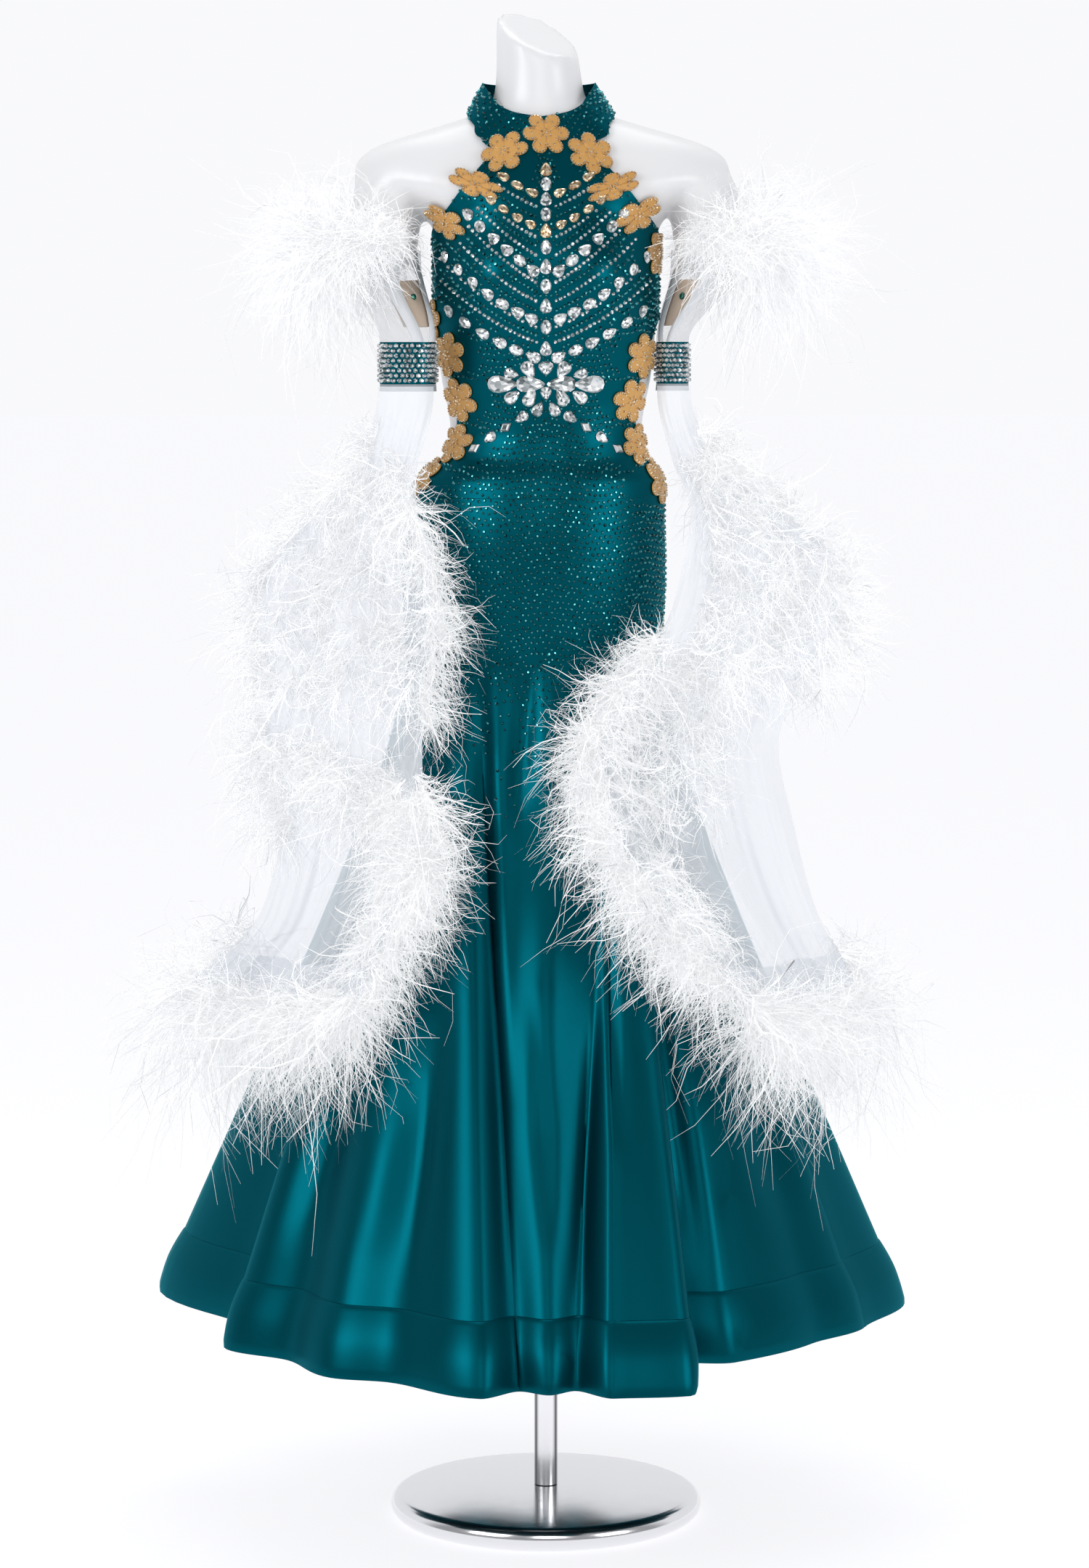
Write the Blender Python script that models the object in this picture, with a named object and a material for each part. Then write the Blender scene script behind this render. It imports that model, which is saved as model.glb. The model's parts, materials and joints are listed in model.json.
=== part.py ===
"""Ballroom dance dress, with feathered floats, on a limbless dress form and a round base.

Metres, +Z up, front towards -Y. The origin is the centre of the base's underside.
"""

import bisect
import random
from collections import namedtuple
from math import atan2, cos, degrees, exp, hypot, pi, radians, sin, tau

import bmesh
import bpy
from mathutils import Vector
from mathutils.bvhtree import BVHTree
from mathutils.geometry import delaunay_2d_cdt

# Walls and clearances
SEAM_GAP = 0.0003
HEM_SEAM_GAP = 0.0005
FORM_CLEARANCE = 0.0022
SATIN_WALL = 0.0015
CHIFFON_WALL = 0.0012
HEM_BAND_WALL = 0.0022
ARMBAND_WALL = 0.0020

SIDE_SEAM_TURN = radians(0.25)

# Heights
HEM_Z = 0.2385
HEM_SEAM_Z = 0.3135
FLARE_Z = 1.000
HIP_SEAM_Z = 1.165
BACK_SCOOP_Z = 1.128
BODICE_TOP_Z = 1.5555
FORM_BOTTOM_Z = 0.800
NECK_TOP_Z = 1.676

# Sampling of the surfaces
FORM_COLUMNS = 30
FORM_HEIGHTS = (0.8, 0.803, 0.815, 0.84, 0.90, 0.97, 1.04, 1.11, 1.17, 1.21, 1.24, 1.28, 1.33, 1.37,
                1.40, 1.43, 1.46, 1.48, 1.50, 1.52, 1.54, 1.555, 1.567, 1.578, 1.59, 1.604, 1.625)
SKIRT_HEIGHTS = (1.04, 1.0, 0.95, 0.89, 0.81, 0.70, 0.51)
SKIRT_TOP_STEPS = 3
COLUMN_DEGREES = 5.4
HIP_COLUMN_DEGREES = 8.0

# Body of the form: half width, sideways shift and depth in front and behind, at each height
BodyRow = namedtuple("BodyRow", "z half_width shift front back")
BODY = [BodyRow(*row) for row in (
    (0.800, 0.040, 0.000, 0.040, 0.040),
    (0.803, 0.070, -0.002, 0.060, 0.062),
    (0.815, 0.100, -0.005, 0.078, 0.084),
    (0.840, 0.118, -0.008, 0.090, 0.096),
    (0.900, 0.130, -0.012, 0.101, 0.108),
    (1.000, 0.140, -0.014, 0.109, 0.118),
    (1.080, 0.1440, -0.0135, 0.111, 0.124),
    (1.120, 0.1432, -0.0135, 0.109, 0.121),
    (1.180, 0.1350, -0.0070, 0.099, 0.100),
    (1.210, 0.1140, -0.0020, 0.089, 0.080),
    (1.237, 0.1070, 0.0000, 0.084, 0.070),
    (1.265, 0.1105, 0.0000, 0.083, 0.068),
    (1.290, 0.1160, 0.0000, 0.085, 0.070),
    (1.330, 0.1210, 0.0000, 0.092, 0.078),
    (1.380, 0.1230, 0.0000, 0.101, 0.086),
    (1.420, 0.1230, 0.0000, 0.106, 0.090),
    (1.455, 0.1240, 0.0000, 0.101, 0.091),
    (1.480, 0.1385, -0.0010, 0.094, 0.090),
    (1.500, 0.1780, -0.0030, 0.087, 0.088),
    (1.515, 0.2100, -0.0040, 0.081, 0.085),
    (1.535, 0.2070, -0.0040, 0.072, 0.080),
    (1.551, 0.1890, -0.0040, 0.065, 0.075),
    (1.563, 0.1560, -0.0045, 0.060, 0.071),
    (1.575, 0.1150, -0.0050, 0.056, 0.067),
    (1.587, 0.0780, -0.0060, 0.053, 0.062),
    (1.604, 0.0520, -0.0070, 0.050, 0.056),
    (1.630, 0.0475, -0.0080, 0.048, 0.052),
    (1.650, 0.0460, -0.0090, 0.047, 0.050),
    (1.760, 0.0460, -0.0090, 0.047, 0.050),
)]
BUST_X, BUST_Z, BUST_OUT = 0.062, 1.400, 0.018
BUST_WIDTH, BUST_HEIGHT = 0.044, 0.052
NECK_TILT_SIDE, NECK_TILT_FRONT = -0.42, 0.45

# Short shoulder ends of the form: centre and half width at each height, mirrored for the right
StubRow = namedtuple("StubRow", "z centre half_width")
STUB = [StubRow(*row) for row in (
    (1.412, 0.184, 0.016),
    (1.417, 0.183, 0.027),
    (1.430, 0.182, 0.0355),
    (1.450, 0.180, 0.0385),
    (1.480, 0.178, 0.0390),
    (1.505, 0.175, 0.0390),
    (1.522, 0.170, 0.0340),
    (1.537, 0.164, 0.0240),
)]
STUB_DEPTH = 1.2

# Folds of the skirt: angle on the hips, angle and radius at the hem, and the gore that starts there
Fold = namedtuple("Fold", "hip_turn hem_turn radius gore")
FOLDS = [Fold(*row) for row in (
    (-162, -165, 0.440, ""),
    (-146, -150, 0.365, ""),
    (-130, -137, 0.435, "side_back_left"),
    (-114, -122, 0.370, ""),
    (-98, -107, 0.467, ""),
    (-77, -73, 0.348, "side_front_left"),
    (-66, -59, 0.408, ""),
    (-57, -47, 0.383, ""),
    (-49, -34, 0.412, ""),
    (-43, -25, 0.399, ""),
    (-33, -9, 0.441, ""),
    (-25.5, -3.9, 0.404, "centre_front"),
    (0, 0.5, 0.420, ""),
    (34, 4.4, 0.402, ""),
    (38, 9.3, 0.440, "side_front_right"),
    (46, 19.8, 0.449, ""),
    (53, 27.5, 0.312, ""),
    (61, 37, 0.340, ""),
    (73, 58, 0.345, ""),
    (88, 74, 0.371, "side_back_right"),
    (99, 95, 0.413, ""),
    (111, 108, 0.352, ""),
    (124, 123, 0.425, ""),
    (137, 137, 0.360, "centre_back"),
    (150, 151, 0.440, ""),
    (162, 164, 0.372, ""),
    (173, 174, 0.432, ""),
    (183, 183, 0.374, ""),
)]
FLARE_EASE = 0.13

# Side edges of the front bodice: half width on the left and right at each height
EdgeRow = namedtuple("EdgeRow", "z left right")
BODICE_EDGE = [EdgeRow(*row) for row in (
    (1.5555, 0.070, 0.060),
    (1.545, 0.060, 0.056),
    (1.525, 0.074, 0.070),
    (1.500, 0.095, 0.093),
    (1.478, 0.112, 0.110),
    (1.460, 0.1235, 0.1215),
    (1.440, 0.1255, 0.1245),
    (1.372, 0.1245, 0.1240),
    (1.345, 0.1170, 0.1160),
    (1.315, 0.1080, 0.1060),
    (1.290, 0.1020, 0.1000),
    (1.260, 0.0960, 0.0960),
    (1.235, 0.0960, 0.0980),
    (1.215, 0.1050, 0.1060),
    (1.195, 0.1270, 0.1180),
    (1.184, 0.1400, 0.1300),
)]
BODICE_GRID = 0.020
FLAT_SCALE = 0.12
ARMHOLE_Z, ARMHOLE_TOP_Z = 1.440, 1.510

# Collar: heights of its lower and upper edge and how far the upper edge stands off, at angles round the neck
CollarRow = namedtuple("CollarRow", "degrees low high stand")
COLLAR = [CollarRow(*row) for row in (
    (0, 1.5558, 1.5830, 0.000),
    (17, 1.5558, 1.5865, 0.001),
    (25, 1.5605, 1.5890, 0.003),
    (35, 1.5715, 1.5930, 0.005),
    (45, 1.5770, 1.5980, 0.008),
    (60, 1.5820, 1.6090, 0.010),
    (75, 1.5850, 1.6180, 0.011),
    (90, 1.5860, 1.6225, 0.011),
    (180, 1.5870, 1.6220, 0.008),
)]
BACK_CLOSING_TURN = 0.004
COLLAR_COLUMNS = 32

# Band under the arms and across the back: its edges at the sides and behind
Band = namedtuple("Band", "low high")
BAND_SIDE, BAND_BACK = Band(1.374, 1.440), Band(1.385, 1.425)
BAND_SIDE_Z, BAND_FIRST_TURN, BAND_NARROWING, BAND_COLUMNS = 1.41, 84, 1.6, 18

# Crystal rows: outer end and inner end of each slanting row, stones a side and stone size
StoneRow = namedtuple("StoneRow", "outer_x outer_z inner_x inner_z sag count length width")
STONE_ROWS = [StoneRow(*row) for row in (
    (0.047, 1.516, 0.0155, 1.4985, 0.001, 3, 0.013, 0.0075),
    (0.060, 1.4915, 0.0170, 1.4640, 0.002, 4, 0.0115, 0.0075),
    (0.084, 1.4770, 0.0150, 1.4150, 0.004, 6, 0.0135, 0.0095),
    (0.108, 1.4310, 0.0165, 1.3640, 0.007, 7, 0.0135, 0.0095),
    (0.104, 1.3720, 0.0140, 1.3220, 0.004, 6, 0.0145, 0.0095),
    (0.077, 1.2185, 0.0260, 1.2545, -0.001, 4, 0.0135, 0.0085),
)]
STONE_COLUMN_Z = (1.5235, 1.5075, 1.4915, 1.4745, 1.4570, 1.4390, 1.4190, 1.3985, 1.3775, 1.3545, 1.3310)
COLUMN_STONE = (0.0130, 0.0085)
# Centre cluster: place from its middle, length, width and slant of each stone, mirrored sideways
ClusterStone = namedtuple("ClusterStone", "x z length width slant")
CLUSTER_Z = 1.2895
CLUSTER = [ClusterStone(*row) for row in (
    (0.0165, 0.0020, 0.026, 0.0120, 0),
    (0.0465, 0.0020, 0.028, 0.0130, 0),
    (0.0000, 0.0200, 0.012, 0.0110, 90),
    (0.0185, 0.0180, 0.016, 0.0100, 60),
    (0.0370, 0.0135, 0.013, 0.0080, 15),
    (0.0170, -0.0130, 0.016, 0.0095, -60),
    (0.0360, -0.0120, 0.015, 0.0090, -35),
    (0.0000, -0.0080, 0.011, 0.0080, 90),
    (0.0085, -0.0260, 0.013, 0.0080, -60),
)]
STONE_RISE = 0.0030
STONE_SIDES = 6
STONE_MARGIN = 0.0015
STONE_SPACE = 0.011

# Gold flower appliques: place of the middle across and up the front, spin, and lift off the cloth
FlowerRow = namedtuple("FlowerRow", "name x z spin lift")
FLOWERS = [FlowerRow(*row) for row in (
    ("top", 0.000, 1.5630, 0, 0.0020),
    ("left_1", -0.0455, 1.5430, 12, 0.0020),
    ("left_2", -0.0770, 1.5080, 40, 0.0034),
    ("left_3", -0.1080, 1.4690, 20, 0.0034),
    ("right_1", 0.0490, 1.5410, 25, 0.0020),
    ("right_2", 0.0730, 1.5050, 8, 0.0034),
    ("right_3", 0.0985, 1.4755, 30, 0.0034),
    ("right_4", 0.1190, 1.4350, 0, 0.0034),
    ("left_5", -0.1215, 1.3600, 10, 0.0020),
    ("left_6", -0.1050, 1.3235, 20, 0.0020),
    ("left_7", -0.0935, 1.2735, 40, 0.0020),
    ("left_8", -0.0965, 1.2235, 15, 0.0020),
    ("left_9", -0.1340, 1.1850, 30, 0.0020),
    ("right_5", 0.1050, 1.3220, 35, 0.0020),
    ("right_6", 0.0915, 1.2725, 50, 0.0020),
    ("right_7", 0.0980, 1.2230, 15, 0.0020),
    ("right_8", 0.1240, 1.1815, 25, 0.0020),
)]
BACK_FLOWER_TURNS = (118, 152, -152, -118)
FLOWER_RADIUS = 0.0245
FLOWER_THICK = 0.0022
BACK_FLOWER_LIFT = 0.0016
BACK_FLOWER_DROP = 0.014
SEAT_STEP, SEAT_TRIES = 0.0003, 8
PETALS = 6

# Armbands: middle, half width, half depth and height of each
Armband = namedtuple("Armband", "x y half_width half_depth top bottom notch")
ARMBAND_COLUMNS = 22
ARMBANDS = {
    "left": Armband(-0.1520, -0.075, 0.0310, 0.0270, 1.3370, 1.2910, 0.20),
    "right": Armband(0.1410, -0.014, 0.0180, 0.0260, 1.3370, 1.2910, 0.08),
}
BINDING_HEIGHT = 0.008
SIDES = {"left": -1, "right": 1}
PUFF_TOP, PUFF_BOTTOM = 1.466, 1.440
PUFF_HEM = 0.003
PUFF_CLEARANCE = 0.0012
SLEEVE_EASE = 0.0040
SLEEVE_DROP = 0.0012
SLEEVE_STRAIGHT = 0.15
SLEEVE_ROWS = (0, 0.15, 0.32, 0.48, 0.66, 0.82, 1)
SLIT_TURN = {"left": 42, "right": -30}
SLIT_TOP_HALF, SLIT_OPEN_HALF = 3, 22
LINING_HALF = 44
LINING_GAP = 0.0016

# Floats: places of the inner and outer edge at each height, and depth of the waves between them
FloatRow = namedtuple("FloatRow", "z inner_x inner_y outer_x outer_y depth")
FLOATS = {
    "left": [FloatRow(*row) for row in (
        (1.200, -0.145, -0.115, -0.215, -0.065, 0.002),
        (1.150, -0.138, -0.125, -0.255, -0.050, 0.005),
        (1.090, -0.118, -0.128, -0.310, -0.030, 0.008),
        (1.020, -0.116, -0.138, -0.325, -0.032, 0.010),
        (0.960, -0.130, -0.145, -0.310, -0.045, 0.010),
        (0.890, -0.132, -0.160, -0.320, -0.055, 0.011),
        (0.800, -0.124, -0.205, -0.300, -0.075, 0.012),
        (0.710, -0.155, -0.220, -0.320, -0.090, 0.013),
        (0.620, -0.205, -0.225, -0.410, -0.075, 0.010),
    )],
    "right": [FloatRow(*row) for row in (
        (1.200, 0.146, -0.060, 0.205, -0.025, 0.003),
        (1.150, 0.158, -0.080, 0.265, -0.020, 0.005),
        (1.090, 0.148, -0.100, 0.325, -0.020, 0.008),
        (1.020, 0.125, -0.130, 0.330, -0.032, 0.010),
        (0.960, 0.080, -0.150, 0.285, -0.050, 0.010),
        (0.890, 0.045, -0.185, 0.262, -0.070, 0.011),
        (0.800, 0.070, -0.215, 0.280, -0.085, 0.012),
        (0.710, 0.135, -0.240, 0.305, -0.095, 0.013),
        (0.620, 0.215, -0.235, 0.355, -0.100, 0.005),
    )],
}
FLOAT_HEIGHTS = (1.2885, 1.272, 1.245, 1.215, 1.175, 1.120, 1.050, 0.975, 0.895, 0.805, 0.715, 0.625)
FLOAT_GATHER_START, FLOAT_GATHER_END = 60, -95
FLOAT_GATHER_DROP = 0.12
FLOAT_HEM_SAG = 0.012
FLOAT_WAVE_START = 0.6
FLOAT_LIFT = 0.0020
FLOAT_COLUMNS = 12
FLOAT_WAVES = 2.5

# Feather edgings: the grid line of the float that each follows, its span, and reach of its locks
Edging = namedtuple("Edging", "name side along line start end reach out down spread")
EDGINGS = [Edging(*row) for row in (
    ("upper", "left", "row", 5, 0, 12, 0.100, 0.75, 0.55, 0.6),
    ("middle", "left", "row", 8, 0, 12, 0.095, 0.75, 0.60, 0.5),
    ("edge", "left", "column", 0, 8.3, 10.3, 0.070, 0.70, 0.35, 0.6),
    ("hem", "left", "row", 11, 0, 12, 0.130, 0.70, 0.66, 0.4),
    ("upper", "right", "row", 5, 0, 12, 0.100, 0.80, 0.50, 0.6),
    ("middle", "right", "row", 7, 3, 12, 0.090, 0.75, 0.60, 0.35),
    ("edge", "right", "column", 0, 7.3, 10.3, 0.075, 0.70, 0.35, 0.6),
    ("hem", "right", "row", 11, 0, 12, 0.120, 0.85, 0.50, 0.45),
)]
EDGING_ROW_WIDTH, EDGING_COLUMN_WIDTH = 0.12, 0.36
EDGING_COLUMN_LOCKS = 4
EDGING_LIFT = 0.0010
EDGING_THICK = 0.0018

# Feather locks: shortest length, place and width of the middle, and place and droop of the tip
LOCK_SHORTEST = 0.80
LOCK_MIDDLE, LOCK_TAPER = 0.55, 0.5
LOCK_TIP, LOCK_DROOP = 0.97, 0.12
PUFF_COLUMNS = 20
PUFF_REACH, PUFF_OUTER_REACH = 0.115, 0.35
PUFF_RISES = (0.55, -0.45)
PUFF_INNER_LIMIT = -0.42

# Stand
BASE_RADIUS = 0.1776
BASE_EDGE = 0.013
BASE_DOME = 0.033
POLE_RADIUS = 0.0135
BASE_SIDES, POLE_SIDES = 36, 16

# Colour, metallic value and roughness of each material
FINISH = {
    "satin": ((0.000, 0.105, 0.115), 0.0, 0.32),
    "gold": ((0.60, 0.36, 0.12), 0.6, 0.40),
    "chiffon": ((0.93, 0.94, 0.96), 0.0, 0.75),
    "feather": ((0.96, 0.96, 0.97), 0.0, 0.85),
    "nude": ((0.60, 0.47, 0.36), 0.0, 0.70),
    "stones": ((0.55, 0.65, 0.67), 0.3, 0.15),
    "binding": ((0.45, 0.49, 0.52), 0.0, 0.55),
    "gloss_white": ((0.90, 0.90, 0.91), 0.0, 0.18),
    "chrome": ((0.80, 0.80, 0.82), 1.0, 0.06),
}


class Profile:
    """A value that follows rows of heights smoothly and never passes beyond them."""

    def __init__(self, heights, values):
        pairs = sorted(zip(heights, values))
        self.heights = [pair[0] for pair in pairs]
        self.values = [pair[1] for pair in pairs]
        steps = [(v1 - v0) / (h1 - h0)
                 for h0, h1, v0, v1 in zip(self.heights, self.heights[1:], self.values, self.values[1:])]
        inner = [0.0 if a * b <= 0 else 2 * a * b / (a + b) for a, b in zip(steps, steps[1:])]
        self.slopes = [steps[0]] + inner + [steps[-1]]

    def __call__(self, height):
        height = min(max(height, self.heights[0]), self.heights[-1])
        index = min(max(bisect.bisect_right(self.heights, height) - 1, 0), len(self.heights) - 2)
        low, high = self.heights[index], self.heights[index + 1]
        span = high - low
        part = (height - low) / span
        ease = part * part * (3 - 2 * part)
        start = part * (1 - part) ** 2 * span * self.slopes[index]
        end = part * part * (part - 1) * span * self.slopes[index + 1]
        return self.values[index] * (1 - ease) + self.values[index + 1] * ease + start + end


def columns_of(rows):
    """One Profile for each named column after the first, the height or angle, of a table."""
    heights = [row[0] for row in rows]
    return {name: Profile(heights, [getattr(row, name) for row in rows]) for name in rows[0]._fields[1:]}


BODY_AT = columns_of(BODY)
STUB_AT = columns_of(STUB)
EDGE_AT = columns_of(BODICE_EDGE)
COLLAR_AT = columns_of(COLLAR)
FLOAT_AT = {side: columns_of(rows) for side, rows in FLOATS.items()}


def mix(a, b, part):
    return a + (b - a) * part


def ease(part):
    part = min(max(part, 0.0), 1.0)
    return part * part * (3 - 2 * part)


def body_point(turn, z):
    """Skin of the form at an angle from the front, positive towards +X."""
    across, along = sin(turn), cos(turn)
    x = BODY_AT["shift"](z) + BODY_AT["half_width"](z) * across
    y = -(BODY_AT["front"](z) if along > 0 else BODY_AT["back"](z)) * along
    if along > 0:
        above = (z - BUST_Z) / BUST_HEIGHT
        cups = sum(exp(-((x - middle) / BUST_WIDTH) ** 2 - above * above) for middle in (-BUST_X, BUST_X))
        y -= BUST_OUT * cups * ease(along * 1.7)
    return Vector((x, y, z))


def moved_out(surface, first, second, distance):
    """The point of a surface at two parameters, moved along its normal."""
    step = 1e-4
    along = surface(first + step, second) - surface(first - step, second)
    up = surface(first, second + step) - surface(first, second - step)
    return surface(first, second) + along.cross(up).normalized() * distance


def worn(turn, z, distance=0.0):
    """A point on the dress's inner face, where it lies on the form, moved out."""
    return moved_out(body_point, turn, z, FORM_CLEARANCE + distance)


def turn_at(x, z):
    """Angle round the form's front where it reaches x at a height."""
    part = (x - BODY_AT["shift"](z)) / BODY_AT["half_width"](z)
    part = min(max(part, -0.9999), 0.9999)
    return atan2(part, (1 - part * part) ** 0.5)


def place_near(point):
    """Angle and height on the form's front at the level of a point."""
    across = (point.x - BODY_AT["shift"](point.z)) / BODY_AT["half_width"](point.z)
    depth = BODY_AT["front" if point.y < 0 else "back"](point.z)
    return atan2(across, -point.y / depth), point.z


def material(name):
    found = bpy.data.materials.get(name)
    if found:
        return found
    colour, metallic, roughness = FINISH[name]
    made = bpy.data.materials.new(name)
    made.use_nodes = True
    shader = made.node_tree.nodes["Principled BSDF"]
    shader.inputs["Base Color"].default_value = (*colour, 1)
    shader.inputs["Metallic"].default_value = metallic
    shader.inputs["Roughness"].default_value = roughness
    made.diffuse_color = (*colour, 1)
    return made


def add_object(name, shape, finish):
    """An object from a bmesh, with its faces turned outwards and its round parts shaded smooth."""
    bmesh.ops.recalc_face_normals(shape, faces=shape.faces)
    mesh = bpy.data.meshes.new(name)
    shape.to_mesh(mesh)
    shape.free()
    mesh.shade_smooth()
    mesh.set_sharp_from_angle(angle=radians(40))
    mesh.materials.append(material(finish))
    made = bpy.data.objects.new(name, mesh)
    bpy.context.scene.collection.objects.link(made)
    return made


def wall(outer, inner, round_about=False, split=True):
    """A closed wall between two grids of points, open at its sides or running round as a tube.

    Each patch may be split along its shorter diagonal, the same one on both faces.
    """
    shape = bmesh.new()
    front = [[shape.verts.new(point) for point in row] for row in outer]
    rear = [[shape.verts.new(point) for point in row] for row in inner]
    wide = len(front[0])
    spans = wide if round_about else wide - 1
    for low in range(len(front) - 1):
        for column in range(spans):
            after = (column + 1) % wide
            corners = [(low, column), (low, after), (low + 1, after), (low + 1, column)]
            spots = [Vector(outer[row][place]) for row, place in corners]
            if split and (spots[1] - spots[3]).length < (spots[0] - spots[2]).length:
                corners = corners[1:] + corners[:1]
            for picked in ((0, 1, 2), (0, 2, 3)) if split else ((0, 1, 2, 3),):
                patch = [corners[k] for k in picked]
                shape.faces.new([front[row][place] for row, place in patch])
                shape.faces.new([rear[row][place] for row, place in reversed(patch)])
    for column in range(spans):
        after = (column + 1) % wide
        shape.faces.new((rear[0][column], rear[0][after], front[0][after], front[0][column]))
        shape.faces.new((front[-1][column], front[-1][after], rear[-1][after], rear[-1][column]))
    if not round_about:
        for low in range(len(front) - 1):
            shape.faces.new((front[low][0], front[low + 1][0], rear[low + 1][0], rear[low][0]))
            shape.faces.new((rear[low][-1], rear[low + 1][-1], front[low + 1][-1], front[low][-1]))
    return shape


def turned(profile, sides):
    """A solid turned about Z from radius and height pairs that start and end on the axis."""
    shape = bmesh.new()
    rings = []
    for radius, z in profile:
        if radius == 0:
            rings.append([shape.verts.new((0, 0, z))])
        else:
            rings.append([shape.verts.new((radius * cos(tau * k / sides), radius * sin(tau * k / sides), z))
                          for k in range(sides)])
    for low, high in zip(rings, rings[1:]):
        for k in range(sides):
            after = (k + 1) % sides
            corners = [low[k % len(low)], low[after % len(low)], high[after % len(high)], high[k % len(high)]]
            shape.faces.new(list(dict.fromkeys(corners)))
    return shape


def make_base():
    """Round base plate with a bullnose rim and a slightly domed top, flat underneath."""
    rim = [(BASE_RADIUS - BASE_EDGE + BASE_EDGE * cos(a), BASE_EDGE + BASE_EDGE * sin(a))
           for a in (radians(step) for step in (-90, -45, 0, 45, 90))]
    dome = [(BASE_RADIUS * 0.7, BASE_DOME - 0.0035), (BASE_RADIUS * 0.35, BASE_DOME - 0.001)]
    profile = [(0, 0)] + rim + dome + [(0, BASE_DOME)]
    return add_object("stand_base", turned(profile, BASE_SIDES), "chrome")


def make_pole():
    bottom, top = BASE_DOME + SEAM_GAP, FORM_BOTTOM_Z - SEAM_GAP
    profile = [(0, bottom), (POLE_RADIUS, bottom), (POLE_RADIUS, top), (0, top)]
    return add_object("stand_pole", turned(profile, POLE_SIDES), "chrome")


def closed_stack(rings):
    """A closed solid through rings of points, with flat ends."""
    shape = bmesh.new()
    loops = [[shape.verts.new(point) for point in ring] for ring in rings]
    wide = len(loops[0])
    for low, high in zip(loops, loops[1:]):
        for k in range(wide):
            after = (k + 1) % wide
            shape.faces.new((low[k], low[after], high[after], high[k]))
    shape.faces.new(list(reversed(loops[0])))
    shape.faces.new(loops[-1])
    return shape


def stub_point(side, turn, z):
    """Skin of a short shoulder end at an angle from the front, positive towards +X."""
    half = STUB_AT["half_width"](z)
    return Vector((SIDES[side] * STUB_AT["centre"](z) + half * sin(turn), -half * STUB_DEPTH * cos(turn), z))


def make_form():
    """The limbless form: torso, sloping cut neck, and short shoulder ends joined to it."""
    turns = [tau * k / FORM_COLUMNS for k in range(FORM_COLUMNS)]
    rings = [[body_point(turn, z) for turn in turns] for z in FORM_HEIGHTS]
    top = []
    for turn in turns:
        flat = body_point(turn, NECK_TOP_Z)
        tilt = NECK_TILT_SIDE * (flat.x - BODY_AT["shift"](NECK_TOP_Z)) + NECK_TILT_FRONT * flat.y
        top.append(Vector((flat.x, flat.y, NECK_TOP_Z + tilt)))
    form = add_object("dress_form", closed_stack(rings + [top]), "gloss_white")
    around = [tau * k / 16 for k in range(16)]
    for side in SIDES:
        rings = [[stub_point(side, turn, row.z) for turn in around] for row in STUB]
        stub = add_object("shoulder_end_" + side, closed_stack(rings), "gloss_white")
        stub.hide_render = True
        stub.display_type = "WIRE"
        join = form.modifiers.new("shoulder_end_" + side, "BOOLEAN")
        join.operation = "UNION"
        join.solver = "EXACT"
        join.object = stub
    return form


def flare(z):
    """How far the skirt has spread from the hips, 0, to the hem, 1."""
    down = max(0.0, (FLARE_Z - z) / (FLARE_Z - HEM_Z))
    return (down - FLARE_EASE * (1 - exp(-down / FLARE_EASE))) / (1 - FLARE_EASE)


def fold_at(place):
    """Hip angle, hem angle and hem radius at a place along the folds, counted in rows of the table."""
    index = int(place) if place >= 0 else int(place) - 1
    part = place - index
    count = len(FOLDS)
    low, high = FOLDS[index % count], FOLDS[(index + 1) % count]
    low_round, high_round = 360 * (index // count), 360 * ((index + 1) // count)
    hip = mix(low.hip_turn + low_round, high.hip_turn + high_round, part)
    hem = mix(low.hem_turn + low_round, high.hem_turn + high_round, part)
    return radians(hip), radians(hem), mix(low.radius, high.radius, ease(part))


def skirt_point(place, z):
    """The skirt's inner face: on the hips above, straight down the flare to the folded hem below."""
    hip, hem, radius = fold_at(place)
    if z >= FLARE_Z:
        return moved_out(body_point, hip, z, FORM_CLEARANCE)
    start = moved_out(body_point, hip, FLARE_Z, FORM_CLEARANCE)
    end = Vector((radius * sin(hem), -radius * cos(hem), HEM_Z))
    spread = flare(z)
    return Vector((mix(start.x, end.x, spread), mix(start.y, end.y, spread), z))


def skirt_top(hip):
    """Height of the skirt's upper edge: the hip seam in front, a low scoop behind."""
    behind = max(0.0, -cos(hip))
    return HIP_SEAM_Z - SEAM_GAP - (HIP_SEAM_Z - BACK_SCOOP_Z) * ease(behind * 1.4)


def gore_places(start, end):
    """Places across a gore, denser where the hem turns through a wider angle."""
    places = []
    for index in range(start, end):
        hip_low, hem_low, _ = fold_at(index)
        hip_high, hem_high, _ = fold_at(index + 1 - 1e-9)
        wide = max(degrees(hem_high - hem_low) / COLUMN_DEGREES,
                   degrees(hip_high - hip_low) / HIP_COLUMN_DEGREES)
        steps = max(2, round(wide))
        places += [index + step / steps for step in range(steps)]
    return places + [end]


def skirt_wall(places, heights_at, thickness, lift):
    """A wall over part of the skirt, parted by half a seam gap at both sides."""
    outer, inner = [], []
    rows = len(heights_at(places[0]))
    for row in range(rows):
        outer.append([])
        inner.append([])
        for number, place in enumerate(places):
            z = heights_at(place)[row]
            step = 1e-3
            along = (skirt_point(place + step, z) - skirt_point(place - step, z)).normalized()
            part_off = SEAM_GAP * ((number == 0) - (number == len(places) - 1))
            shift = along * part_off
            outer[-1].append(moved_out(skirt_point, place, z, lift + thickness) + shift)
            inner[-1].append(moved_out(skirt_point, place, z, lift) + shift)
    return wall(outer, inner)


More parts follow.
